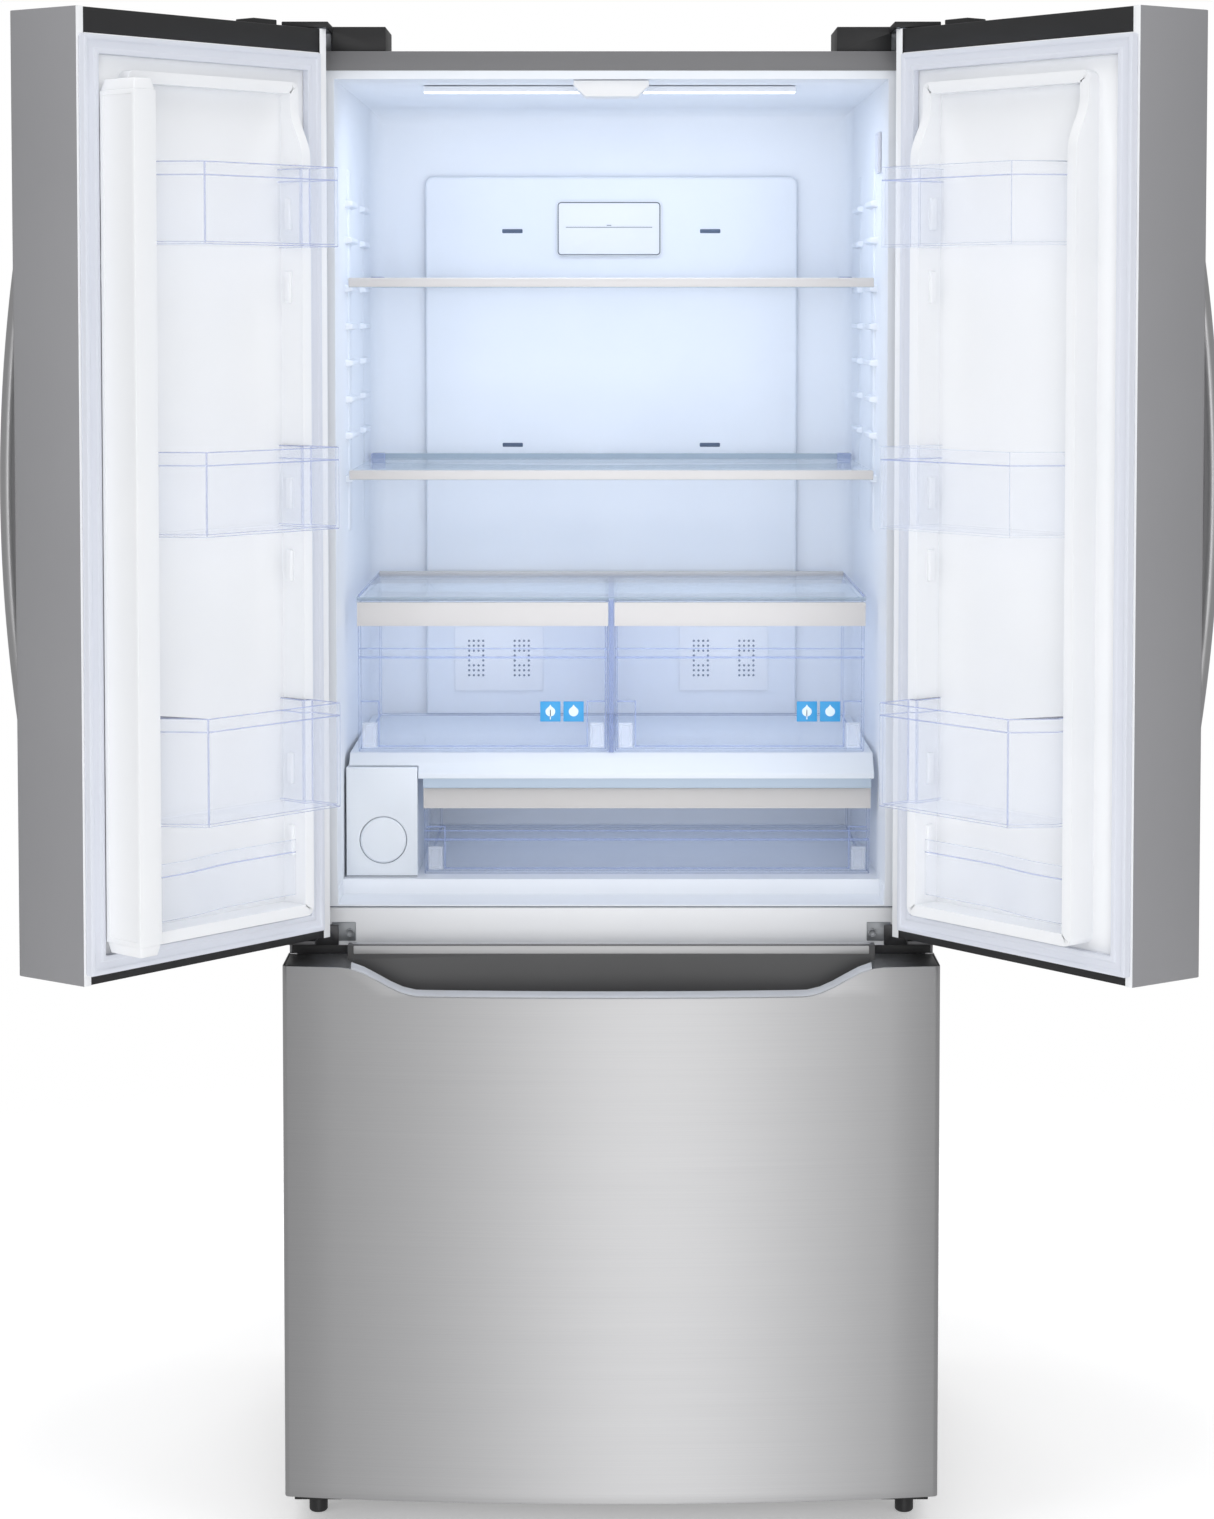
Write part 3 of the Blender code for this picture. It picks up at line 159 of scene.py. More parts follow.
@dataclass(frozen=True)
class Moulded:
    """Moulded or vacuum formed plastic: two close shades in soft clouds, and a fine grain."""

    name: str
    colour: str
    shade: str
    roughness: float = 0.38
    grain: float = 1.6
    relief: float = 0.04
    ior: float = 1.49

    def make(self) -> bpy.types.Material:
        """Builds the material."""
        material, shader, place = start_material(self.name, IOR=self.ior)
        tree = material.node_tree
        cloud = add_node(tree, "ShaderNodeTexNoise", {"Vector": place, "Scale": per_mm(140), "Detail": 3.0})
        fine = {"Vector": place, "Scale": per_mm(self.grain), "Detail": 2.0}
        grain = add_node(tree, "ShaderNodeTexNoise", fine)
        dress(
            shader, cloud.outputs["Fac"], grain.outputs["Fac"],
            (self.colour, self.shade), (self.roughness, 0.05), (self.relief, self.grain / 4000),
        )
        return material


@dataclass(frozen=True)
class Clear:
    """Clear polystyrene or glass: see-through face on, denser and tinted where seen along its wall."""

    name: str
    colour: str
    face: float
    rim: float
    roughness: float = 0.06
    ior: float = 1.5

    def make(self) -> bpy.types.Material:
        """Builds the material."""
        material, shader, place = start_material(
            self.name, Base_Color=linear(self.colour), Roughness=self.roughness, IOR=self.ior
        )
        tree = material.node_tree
        facing = add_node(tree, "ShaderNodeLayerWeight", {"Blend": 0.35})
        ripple = add_node(tree, "ShaderNodeTexNoise", {"Vector": place, "Scale": per_mm(60), "Detail": 2.0})
        wave = add_node(
            tree, "ShaderNodeMapRange",
            {"Value": ripple.outputs["Fac"], "To Min": -0.15 * self.face, "To Max": 0.15 * self.face},
        )
        density = add_node(
            tree, "ShaderNodeMapRange",
            {"Value": facing.outputs["Facing"], "To Min": self.face, "To Max": self.rim},
        )
        layers = {0: density.outputs[0], 1: wave.outputs[0]}
        total = add_node(tree, "ShaderNodeMath", layers, use_clamp=True)
        tree.links.new(total.outputs[0], shader.inputs["Alpha"])
        return material


@dataclass(frozen=True)
class Brushed:
    """Stainless steel sheet rubbed along its width, so that highlights spread up and down."""

    name: str
    colour: str
    shade: str
    roughness: float = 0.36
    line: float = 0.7
    anisotropy: float = 0.5

    def make(self) -> bpy.types.Material:
        """Builds the material."""
        material, shader, place = start_material(
            self.name, Metallic=1.0, Anisotropic=self.anisotropy, Anisotropic_Rotation=0.25
        )
        tree = material.node_tree
        stretch = (3.0, 3.0, per_mm(self.line))
        along = add_node(tree, "ShaderNodeMapping", {"Vector": place, "Scale": stretch})
        strokes = {"Vector": along.outputs[0], "Scale": 1.0, "Detail": 4.0, "Roughness": 0.6}
        lines = add_node(tree, "ShaderNodeTexNoise", strokes).outputs["Fac"]
        dress(shader, lines, lines, (self.colour, self.shade), (self.roughness, 0.04), (0.05, 0.0001))
        return material


@dataclass(frozen=True)
class Coated:
    """Painted or plated sheet steel: a fine stipple and slow changes of tone."""

    name: str
    colour: str
    shade: str
    metallic: float = 0.0
    roughness: float = 0.45
    stipple: float = 0.9
    relief: float = 0.12

    def make(self) -> bpy.types.Material:
        """Builds the material."""
        material, shader, place = start_material(self.name, Metallic=self.metallic)
        tree = material.node_tree
        cloud = add_node(tree, "ShaderNodeTexNoise", {"Vector": place, "Scale": per_mm(220), "Detail": 4.0})
        cells = add_node(tree, "ShaderNodeTexVoronoi", {"Vector": place, "Scale": per_mm(self.stipple)})
        dress(
            shader, cloud.outputs["Fac"], cells.outputs["Distance"],
            (self.colour, self.shade), (self.roughness, 0.06), (self.relief, 0.0001),
        )
        return material


@dataclass(frozen=True)
class Lamp:
    """Lit diffusing lens, a little brighter in bands where the diodes sit behind it."""

    name: str
    colour: str
    strength: float

    def make(self) -> bpy.types.Material:
        """Builds the material."""
        material, shader, place = start_material(
            self.name, Base_Color=linear(self.colour), Roughness=0.4, Emission_Color=linear(self.colour)
        )
        tree = material.node_tree
        bands = add_node(tree, "ShaderNodeTexWave", {"Vector": place, "Scale": 12.0, "Distortion": 0.0})
        glow = add_node(
            tree, "ShaderNodeMapRange",
            {"Value": bands.outputs["Fac"], "To Min": self.strength * 0.8, "To Max": self.strength},
        )
        tree.links.new(glow.outputs[0], shader.inputs["Emission Strength"])
        return material


class Finish(Enum):
    """Every finish of the refrigerator."""

    # High impact polystyrene, vacuum formed: soft gloss. Its bluish white is painted cool lamp light on the
    # white plastic.
    LINER = Moulded("formed_white_liner_painted_cool_light", "#f0f4fa", "#e8edf5", 0.34)
    # The same plastic on the doors, seen in room light: nearly neutral white.
    DOOR_LINER = Moulded("formed_white_door_liner", "#f7f8fa", "#f0f2f5", 0.36)
    # Injection moulded ABS of the deck, rails and housings: brighter white, satin.
    WHITE_ABS = Moulded("moulded_white_abs", "#f5f6f8", "#eff1f5", 0.42, 0.9)
    # The deck and the filter's housing: the same ABS, cooler and a little darker as painted cool shade.
    DECK_ABS = Moulded("moulded_white_abs_painted_cool_shade", "#e6ebf1", "#dfe5ed", 0.42, 0.9)
    # ABS in near black: door caps, hinge covers, fans, rollers and feet. Satin, fine spark grain.
    BLACK_ABS = Moulded("moulded_black_abs", "#2e2e2f", "#262627", 0.42, 0.8, 0.15)
    # Mid grey ABS of the hand pocket, smoother than the caps.
    GREY_ABS = Moulded("moulded_grey_abs", "#525253", "#4a4a4b", 0.34, 0.8, 0.08)
    # Soft PVC of the seals and the control pad: matt, cool pale grey.
    SEAL = Moulded("extruded_vinyl_seal", "#e1e4ed", "#d9dde7", 0.6, 2.2, 0.1)
    # Pale metallic paint on the shelf and drawer trims: warm silver, satin.
    SILVER_TRIM = Moulded("silver_painted_trim", "#d6d3d1", "#cecbc9", 0.32, 0.5, 0.05)
    # Clear polystyrene bins and drawers: faint blue, with lavender edges.
    CLEAR = Clear("clear_polystyrene", "#dfe6f5", 0.06, 0.28)
    CLEAR_EDGE = Clear("clear_polystyrene_edge", "#a9b5de", 0.36, 0.70)
    # The crispers' thicker polystyrene: stronger blue tint.
    CRISPER = Clear("crisper_polystyrene", "#dbe6f9", 0.045, 0.20)
    CRISPER_EDGE = Clear("crisper_polystyrene_edge", "#9fb0dc", 0.36, 0.70)
    # The glides behind the crispers' faces: frosted clear plastic.
    FROSTED = Clear("frosted_polystyrene", "#f0f4fb", 0.30, 0.55, 0.3)
    # Tempered float glass: almost unseen face on, bright edge-on.
    GLASS = Clear("tempered_shelf_glass", "#dfeaf2", 0.10, 0.55, 0.03, 1.52)
    GLASS_EDGE = Clear("ground_glass_edge", "#a9b9c6", 0.65, 0.90, 0.15, 1.52)
    # Stainless sheet, brushed along its width.
    STAINLESS = Brushed("brushed_stainless_sheet", "#dededf", "#d3d3d5")
    # Grey paint on the door sides and the case: satin with a light stipple.
    GREY_PAINT = Coated("grey_painted_sheet", "#97979a", "#8f8f92")
    # The same paint on the narrow front edge of the case, darkened as painted shade where it reads darker.
    GREY_BAND = Coated("grey_paint_front_edge_painted_shade", "#7b7b7d", "#757577")
    # Zinc plated sheet of the hinges and rear panel: dull metal with a grey bloom.
    ZINC = Coated("zinc_plated_sheet", "#b9bcc0", "#a7aaae", 0.85, 0.42, 6.0, 0.05)
    # The lower hinge brackets: the zinc plating darkened as painted dark reflection of their chrome-like
    # metal.
    DARK_ZINC = Coated("plated_steel_painted_dark_reflection", "#6a6a6c", "#58585a", 0.9, 0.36, 4.0, 0.05)
    # Satin painted lip and cap of the hand pocket: a pale line against its dark inside.
    LIP = Coated("satin_grey_lip", "#c6c6c7", "#bebebf", 0.35, 0.34)
    # Black enamel on the base, the compressor and its coil: smooth, half gloss.
    BLACK_PAINT = Coated("black_enamelled_steel", "#262627", "#1c1c1d", 0.0, 0.36)
    # Bare aluminium fins: pale, sharp metal.
    FINS = Coated("bare_aluminium_fins", "#c8c9cc", "#babbbf", 1.0, 0.3, 3.0, 0.05)
    # Lit lens of the ceiling lights: a cool even glow.
    LENS = Lamp("lit_lamp_lens", "#f4f8ff", 2.2)
    # Blue and white ink on the crispers, and fine dark lines: flat and smooth. The dark grey also serves as
    # painted shadow in the gap under the sill.
    BLUE_INK = Moulded("screen_printed_blue", "#3fa2dc", "#389ad6", 0.3, 0.5, 0.02)
    WHITE_INK = Moulded("screen_printed_white", "#e6f3fb", "#deeef8", 0.3, 0.5, 0.02)
    DARK_INK = Moulded("printed_grey_and_painted_gap_shadow", "#5f6670", "#575e68", 0.4, 0.5, 0.02)
    # Blue-grey painted shade in the gap under the deck's front edge: satin, darker than the deck.
    DECK_STRIP = Moulded("deck_gap_painted_shade", "#b4c2d0", "#aab9c9", 0.35)
    # Shade inside the air slots: dark and matt.
    SLOT = Moulded("slot_shadow_grey", "#5d6b7e", "#55627a", 0.6)

    def get(self) -> bpy.types.Material:
        """The finish's material, made once."""
        return bpy.data.materials.get(self.value.name) or self.value.make()


# Modelling -------------------------------------------------------------------------------------


class Element(Enum):
    """What an edit selects."""

    VERTICES = "VERT"
    EDGES = "EDGE"
    FACES = "FACE"


def activate(obj: bpy.types.Object) -> None:
    """Selects obj alone and makes it active."""
    bpy.ops.object.select_all(action="DESELECT")
    obj.select_set(True)
    bpy.context.view_layer.objects.active = obj


def settle(obj: bpy.types.Object) -> bpy.types.Object:
    """Puts the object's place, turn and scale in its mesh."""
    activate(obj)
    bpy.ops.object.transform_apply(location=True, rotation=True, scale=True)
    return obj


def block(name: str, box: Box) -> bpy.types.Object:
    """A block between the given limits.

    Args:
        name: the piece's name.
        box: its limits along X, Y and Z.

    Returns:
        The block, a start for modelling.
    """
    middle = [sum(limits) / 2 for limits in box]
    bpy.ops.object.select_all(action="DESELECT")
    bpy.ops.mesh.primitive_cube_add(size=1, location=middle)
    obj = bpy.context.active_object
    obj.name = obj.data.name = name
    obj.scale = [abs(limits[1] - limits[0]) for limits in box]
    return settle(obj)


def round_bar(
    name: str, centre: tuple[float, float, float], radius: float, length: float, axis: str, sides: int = 32
) -> bpy.types.Object:
    """A round bar along one axis.

    Args:
        name: the piece's name.
        centre: its middle.
        radius: its radius.
        length: its length.
        axis: X, Y or Z.
        sides: how many flats make the round.

    Returns:
        The bar, a start for modelling.
    """
    turns = {"X": (0, math.pi / 2, 0), "Y": (math.pi / 2, 0, 0), "Z": (0, 0, 0)}
    bpy.ops.object.select_all(action="DESELECT")
    bpy.ops.mesh.primitive_cylinder_add(
        vertices=sides, radius=radius, depth=length, location=centre, rotation=turns[axis]
    )
    obj = bpy.context.active_object
    obj.name = obj.data.name = name
    return settle(obj)


def choose(obj: bpy.types.Object, element: Element, test: Callable[..., bool]) -> None:
    """Opens obj for editing with some elements selected.

    Args:
        obj: the piece.
        element: whether vertices, edges or faces are tested.
        test: takes a vertex's place, an edge's two ends, or a face's middle and normal.
    """
    activate(obj)
    mesh = obj.data
    for group in (mesh.vertices, mesh.edges, mesh.polygons):
        group.foreach_set("select", [False] * len(group))
    bpy.context.tool_settings.mesh_select_mode = [element is kind for kind in Element]
    if element is Element.VERTICES:
        for vertex in mesh.vertices:
            vertex.select = test(vertex.co)
    elif element is Element.EDGES:
        for edge in mesh.edges:
            edge.select = test(*(mesh.vertices[i].co for i in edge.vertices))
    else:
        for face in mesh.polygons:
            face.select = test(face.center, face.normal)
    bpy.ops.object.mode_set(mode="EDIT")


def close_edit() -> None:
    """Ends an edit."""
    bpy.ops.object.mode_set(mode="OBJECT")


def cut_levels(obj: bpy.types.Object, normal: tuple[float, float, float], levels: list[float]) -> None:
    """Cuts obj across at each level along the normal.

    Args:
        obj: the piece.
        normal: the direction the cuts face.
        levels: distances along it.
    """
    activate(obj)
    bpy.ops.object.mode_set(mode="EDIT")
    for level in levels:
        bpy.ops.mesh.select_all(action="SELECT")
        bpy.ops.mesh.bisect(plane_co=[level * n for n in normal], plane_no=normal)
    close_edit()


def shifted(
    obj: bpy.types.Object, element: Element, test: Callable[..., bool], by: tuple[float, float, float]
) -> None:
    """Moves the elements that pass the test.

    Args:
        obj: the piece.
        element: what is moved.
        test: picks it, as in choose.
        by: how far it goes.
    """
    choose(obj, element, test)
    bpy.ops.transform.translate(value=by)
    close_edit()


def tapered(obj: bpy.types.Object, test: Callable[..., bool], scale: tuple[float, float, float]) -> None:
    """Scales the faces that pass the test about their middle."""
    choose(obj, Element.FACES, test)
    bpy.ops.transform.resize(value=scale)
    close_edit()


def round_corners(obj: bpy.types.Object, radius: float, segments: int, above: float = 0.0) -> None:
    """Rounds the edges that run along Y, from a height up."""
    choose(obj, Element.EDGES, lambda a, b: abs(a.y - b.y) > 0.001 and a.z > above)
    bpy.ops.mesh.bevel(offset=radius, segments=segments)
    close_edit()


def opened(obj: bpy.types.Object, border: float, middle: tuple[float, float]) -> None:
    """Opens a plate that faces Y right through, and leaves a border.

    Args:
        obj: the plate.
        border: the width left round the opening.
        middle: the plate's middle along X and Z.
    """
    choose(obj, Element.FACES, lambda c, n: abs(n.y) > 0.9)
    bpy.ops.mesh.inset(thickness=border, depth=0)
    close_edit()
    near = 0.01
    x, z = middle
    choose(obj, Element.FACES, lambda c, n: abs(n.y) > 0.9 and abs(c.x - x) < near and abs(c.z - z) < near)
    bpy.ops.mesh.bridge_edge_loops()
    close_edit()


def sunk(obj: bpy.types.Object, test: Callable[..., bool], border: float, depth: float) -> bpy.types.Object:
    """Insets the chosen faces and moves them along their normal.

    Args:
        obj: the piece.
        test: picks the faces by middle and normal.
        border: the width left round them.
        depth: how far they go in, or out if negative.

    Returns:
        The piece.
    """
    choose(obj, Element.FACES, test)
    bpy.ops.mesh.inset(thickness=border, depth=0)
    bpy.ops.mesh.inset(thickness=0, depth=-depth)
    close_edit()
    return obj


def modify(obj: bpy.types.Object, kind: str, **settings: Any) -> bpy.types.Object:
    """Applies one modifier.

    Args:
        obj: the piece.
        kind: the modifier's type.
        settings: its properties.

    Returns:
        The piece.
    """
    activate(obj)
    modifier = obj.modifiers.new(kind.lower(), kind)
    for name, value in settings.items():
        setattr(modifier, name, value)
    bpy.ops.object.modifier_apply(modifier=modifier.name)
    return obj


def soften(
    obj: bpy.types.Object, width: float, segments: int = 2, angle: float = 40.0, material: int = -1
) -> bpy.types.Object:
    """Rounds the edges and smooths the shading.

    Args:
        obj: the piece.
        width: how far the rounding reaches.
        segments: steps across it.
        angle: the least turn, in degrees, of an edge that is rounded.
        material: the material slot of the rounding, or -1 for its neighbours'.

    Returns:
        The piece.
    """
    modify(
        obj, "BEVEL", width=width, segments=segments, limit_method="ANGLE",
        angle_limit=math.radians(angle), material=material, harden_normals=False,
    )
    activate(obj)
    bpy.ops.object.shade_smooth_by_angle(angle=math.radians(38))
    return obj


def refined(node: str, name: str) -> bpy.types.Object:
    """A welded copy of a frame node, with its flat faces whole.

    Args:
        node: the frame node.
        name: the copy's name.

    Returns:
        The copy.
    """
    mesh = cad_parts[node].data.copy()
    mesh.materials.clear()
    obj = bpy.data.objects.new(name, mesh)
    bpy.context.scene.collection.objects.link(obj)
    activate(obj)
    bpy.ops.object.mode_set(mode="EDIT")
    bpy.ops.mesh.select_all(action="SELECT")
    bpy.ops.mesh.remove_doubles(threshold=1e-5)
    bpy.ops.mesh.dissolve_limited(angle_limit=math.radians(0.4))
    close_edit()
    if "custom_normal" in mesh.attributes:
        mesh.attributes.remove(mesh.attributes["custom_normal"])
    return obj


def joined(name: str, *parts: bpy.types.Object) -> bpy.types.Object:
    """Joins parts into one piece under a name."""
    activate(parts[0])
    for part in parts:
        part.select_set(True)
    bpy.ops.object.join()
    obj = bpy.context.active_object
    obj.name = obj.data.name = name
    return obj


def coat(obj: bpy.types.Object, *finishes: Finish) -> bpy.types.Object:
    """Gives the piece its finishes, one per material slot."""
    for finish in finishes:
        obj.data.materials.append(finish.get())
    return obj


def paint(obj: bpy.types.Object, index: int, test: Callable[..., bool]) -> bpy.types.Object:
    """Puts the faces that pass the test in a material slot.

    Args:
        obj: the piece.
        index: the slot.
        test: takes a face's middle and normal.

    Returns:
        The piece.
    """
    for face in obj.data.polygons:
        if test(face.center, face.normal):
            face.material_index = index
    return obj


def paint_rims(obj: bpy.types.Object, index: int, width: float) -> bpy.types.Object:
    """Puts faces no wider than a wall in a material slot.

    Args:
        obj: the piece.
        index: the slot.
        width: the greatest width of a rim face.

    Returns:
        The piece.
    """
    for face in obj.data.polygons:
        around = sum((obj.data.vertices[a].co - obj.data.vertices[b].co).length for a, b in face.edge_keys)
        if 2 * face.area / around < width:
            face.material_index = index
    return obj


def settle_on(obj: bpy.types.Object, body: str, slot: str, *nodes: str) -> bpy.types.Object:
    """Rides the piece on its body and hides the frame nodes that it replaces.

    Args:
        obj: the finished piece.
        body: the frame body that it moves with.
        slot: the piece's material slot; clear_plastic and shelf_glass pieces cast no shadow.
        nodes: frame nodes that it replaces.

    Returns:
        The piece.
    """
    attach(obj, body)
    obj.visible_shadow = slot not in ("clear_plastic", "shelf_glass")
    if nodes:
        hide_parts(*nodes)
    log.info("%s rides on %s", obj.name, body)
    return obj


# The cabinet -----------------------------------------------------------------------------------


@dataclass
class Cabinet:
    """Steel case with its rear panel, base, crossbar and hinges."""

    edge: float = 0.0010
    rib_pitch: float = 0.110
    rib_half: float = 0.018
    screws: int = 7
    body: str = "cabinet"

    def build(self) -> None:
        """Builds and dresses every piece of the case."""
        shell = coat(refined("cabinet_shell", "case_wrap"), Finish.GREY_PAINT, Finish.GREY_BAND)
        # Front-facing faces take the grey paint darkened as painted shade.
        paint(shell, 1, lambda c, n: n.y < -0.9)
        soften(shell, self.edge)
        settle_on(shell, self.body, "grey_steel", "cabinet_shell")
        base = coat(soften(refined("base_frame", "base_tray"), 0.0006), Finish.BLACK_PAINT)
        settle_on(base, self.body, "black_steel", "base_frame")
        rail = coat(soften(refined("centre_rail", "crossbar"), 0.0008), Finish.WHITE_ABS)
        settle_on(rail, self.body, "white_plastic", "centre_rail")
        for side, word in ((-1, "left"), (1, "right")):
            x = (side * 0.300, side * 0.328)
            plate = block("plate", (x, (FACE_Y - 0.0028, FACE_Y - 0.0002), (0.689, 0.711)))
            soften(plate, 0.0008)
            x = (side * 0.304, side * 0.3745)
            shade = block(f"{word}_rail_end", (x, (FACE_Y - 0.0007, FACE_Y + 0.001), (0.6722, 0.6836)))
            coat(soften(shade, 0.0002), Finish.BLACK_ABS)
            settle_on(shade, self.body, "black_plastic")
            head = round_bar("bolt", (side * 0.3065, FACE_Y - 0.0036, 0.6985), 0.0052, 0.0032, "Y", 28)
            sunk(head, lambda c, n: n.y < -0.9, 0.0018, 0.0012)
            fixing = coat(joined(f"{word}_hinge_fixing", plate, soften(head, 0.0005)), Finish.ZINC)
            settle_on(fixing, self.body, "zinc_steel")
        # A dark strip in the gap between the liner's sill and the crossbar: painted shadow of that gap.
        seam = block("sill_gap_painted_shadow", ((-0.338, 0.338), (FACE_Y - 0.0002, FACE_Y + 0.001), (0.7284, 0.7294)))
        coat(soften(seam, 0.0001), Finish.DARK_INK)
        settle_on(seam, self.body, "white_plastic")
        self.back()
        for word in ("left", "right"):
            self.hinges(word)

    def back(self) -> None:
        """Rear panel with pressed stiffening ribs and its row of screws."""
        low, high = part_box("rear_panel")
        panel = refined("rear_panel", "rear_sheet")
        shifted(panel, Element.FACES, lambda c, n: n.y > 0.9, (0, -0.0007, 0))
        ribs = []
        for i in range(-2, 3):
            x = i * self.rib_pitch
            across = (x - self.rib_half, x + self.rib_half)
            rib = block("rib", (across, (high.y - 0.0012, high.y - 0.0001), (low.z + 0.36, high.z - 0.12)))
            ribs.append(soften(rib, 0.0004, 3))
        for i in range(self.screws):
            z = low.z + 0.04 + (high.z - low.z - 0.08) * i / (self.screws - 1)
            for side in (-1, 1):
                at = (side * (high.x - 0.012), high.y - 0.0006, z)
                ribs.append(soften(round_bar("screw", at, 0.0045, 0.0011, "Y", 20), 0.0003, 2))
        sheet = coat(joined("rear_sheet", panel, *ribs), Finish.ZINC)
        settle_on(sheet, self.body, "zinc_steel", "rear_panel")

    def hinges(self, word: str) -> None:
        """Top and lower hinges of one door, with the top one's cover.

        Args:
            word: left or right.
        """
        for node, finish, slot in (
            (f"{word}_top_hinge", Finish.ZINC, "zinc_steel"),
            # The lower hinge's plating is darkened as painted dark reflection.
            (f"{word}_lower_hinge", Finish.DARK_ZINC, "zinc_steel"),
            (f"{word}_top_hinge_cover", Finish.BLACK_ABS, "black_plastic"),
        ):
            piece = coat(soften(refined(node, node + "_piece"), 0.0009), finish)
            settle_on(piece, self.body, slot, node)


@dataclass
class Lining:
    """Fresh food liner with its duct cover, lights, guide and shelf ledges."""

    ledge_reach: float = 0.011
    ledge_height: float = 0.010
    column_reach: float = 0.0045
    ledge_levels: tuple[float, ...] = (1.2300, 1.2820, 1.3260, 1.3700, 1.4140, 1.4600, 1.5180, 1.5620)
    ledge_runs: tuple[tuple[float, float], ...] = ((0.130, 0.225), (0.330, 0.425))
    dot_pitch: float = 0.0062
    slot_x: float = 0.1295
    body: str = "cabinet"

    def build(self) -> None:
        """Builds and dresses every piece of the lining."""
        for node, name, finish in (
            ("fresh_food_liner", "cooler_liner", Finish.LINER),
            ("freezer_liner", "freezer_lining", Finish.LINER),
            ("mullion_guide", "bar_guide", Finish.WHITE_ABS),
        ):
            piece = coat(soften(refined(node, name), 0.0014, 3), finish)
            settle_on(piece, self.body, "white_plastic", node)
        self.ledges()
        self.duct()
        self.filter_frame()
        self.lights()
        pad = block("control_pad", ((0.3165, 0.3200), (FACE_Y + 0.085, FACE_Y + 0.125), (1.592, 1.640)))
        sunk(pad, lambda c, n: n.x < -0.9, 0.003, 0.0006)
        coat(soften(pad, 0.0008), Finish.SEAL)
        settle_on(pad, self.body, "white_plastic")

    def ledges(self) -> None:
        """Moulded shelf ledges on both walls."""
        for side, word in ((-1, "left"), (1, "right")):
            parts = []
            wall = side * (CAVITY_HALF + 0.001)
            for z in self.ledge_levels:
                for start, end in self.ledge_runs:
                    x = (wall, wall - side * self.ledge_reach)
                    y = (FACE_Y + start, FACE_Y + end)
                    part = block("ledge", (x, y, (z - self.ledge_height, z)))
                    tapered(part, lambda c, n, s=side: n.x * s < -0.9, (1, 0.92, 0.6))
                    parts.append(soften(part, 0.0016, 3))
            for start, _ in self.ledge_runs:
                x = (wall, wall - side * self.column_reach)
                column = block("column", (x, (FACE_Y + start + 0.03, FACE_Y + start + 0.065), (1.16, 1.60)))
                parts.append(soften(column, 0.002, 3))
            ledges = coat(joined(f"{word}_shelf_ledges", *parts), Finish.LINER)
            settle_on(ledges, self.body, "white_plastic")

    def duct(self) -> None:
        """Rounded panel over the air duct, with dark pieces of painted shade for its slots and the holes of
        its dotted grilles.
        """
        low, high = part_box("air_duct_cover")
        panel = block("duct_panel", ((low.x, high.x), (low.y, high.y), (low.z, high.z)))
        round_corners(panel, 0.010, 6, above=1.5)
        coat(soften(panel, 0.0035, 4), Finish.LINER)
        settle_on(panel, self.body, "white_plastic", "air_duct_cover")
        # The slots and grille holes are not cut: dark pieces on the panel's face paint the shade inside
        # them.
        slots = []
        for side in (-1, 1):
            x = side * self.slot_x
            for z in (1.5330, 1.2530):
                slot = block("slot", ((x - 0.0135, x + 0.0135), (low.y - 0.0008, low.y + 0.002),
                                      (z - 0.0028, z + 0.0028)))
                slots.append(soften(slot, 0.0022, 4))
        for side in (-1, 1):
            for centre in (side * 0.118, side * 0.178):
                for row in range(8):
                    for column in range(4):
                        if row in (3, 4) and column in (1, 2):
                            continue
                        x = centre + (column - 1.5) * self.dot_pitch
                        z = 0.972 + (row - 3.5) * self.dot_pitch * 1.05
                        slots.append(round_bar("dot", (x, low.y - 0.0030, z), 0.0016, 0.0012, "Y", 8))
        dark = coat(joined("air_slot_painted_shade", *slots), Finish.SLOT)
        settle_on(dark, self.body, "white_plastic")
        for side, word in ((-1, "left"), (1, "right")):
            plate = block(f"{word}_grille_plate", ((side * 0.148 - 0.058, side * 0.148 + 0.058),
                                                   (low.y - 0.0032, low.y + 0.002), (0.929, 1.013)))
            coat(soften(plate, 0.0003), Finish.WHITE_ABS)
            settle_on(plate, self.body, "white_plastic")

    def filter_frame(self) -> None:
        """Framed cover of the air filter, with a printed line round it."""
        low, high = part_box("air_filter_cover")
        front = low.y
        cover = block("filter_frame", ((low.x, high.x), (front + 0.0003, high.y), (low.z, high.z)))
        round_corners(cover, 0.006, 6)
        coat(soften(cover, 0.0008, 2, 60), Finish.WHITE_ABS)
        inset = 0.0013
        ring = block("filter_outline", ((low.x + inset, high.x - inset), (front, front + 0.002),
                                        (low.z + inset, high.z - inset)))
        round_corners(ring, 0.005, 6)
        opened(ring, 0.0013, ((low.x + high.x) / 2, (low.z + high.z) / 2))
        settle_on(coat(ring, Finish.DARK_INK), self.body, "white_plastic")
        raised = (front - 0.0002, front + 0.001)
        line = block("line", ((low.x + 0.012, high.x - 0.012), raised, (1.5375, 1.5382)))
        coat(soften(line, 0.0001), Finish.DARK_INK)
        mark = block("mark", ((-0.006, 0.0), raised, (1.5400, 1.5408)))
        coat(soften(mark, 0.0001), Finish.DARK_INK)
        settle_on(cover, self.body, "white_plastic", "air_filter_cover")
        settle_on(joined("filter_divider", line, mark), self.body, "white_plastic")

    def lights(self) -> None:
        """Two lit lenses in the ceiling, either side of the guide."""
        low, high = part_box("ceiling_light")
        parts = []
        for ends in ((low.x, -0.0375), (0.034, high.x)):
            lens = block("lens", (ends, (low.y, high.y), (low.z, high.z)))
            sunk(lens, lambda c, n: n.z < -0.9, 0.002, 0.0008)
            parts.append(soften(lens, 0.0014, 3))
        lamps = coat(joined("ceiling_lamps", *parts), Finish.LENS, Finish.LINER)
        paint(lamps, 1, lambda c, n: n.z > -0.6)
        settle_on(lamps, self.body, "lamp_lens", "ceiling_light")


# Shelves and drawers ---------------------------------------------------------------------------


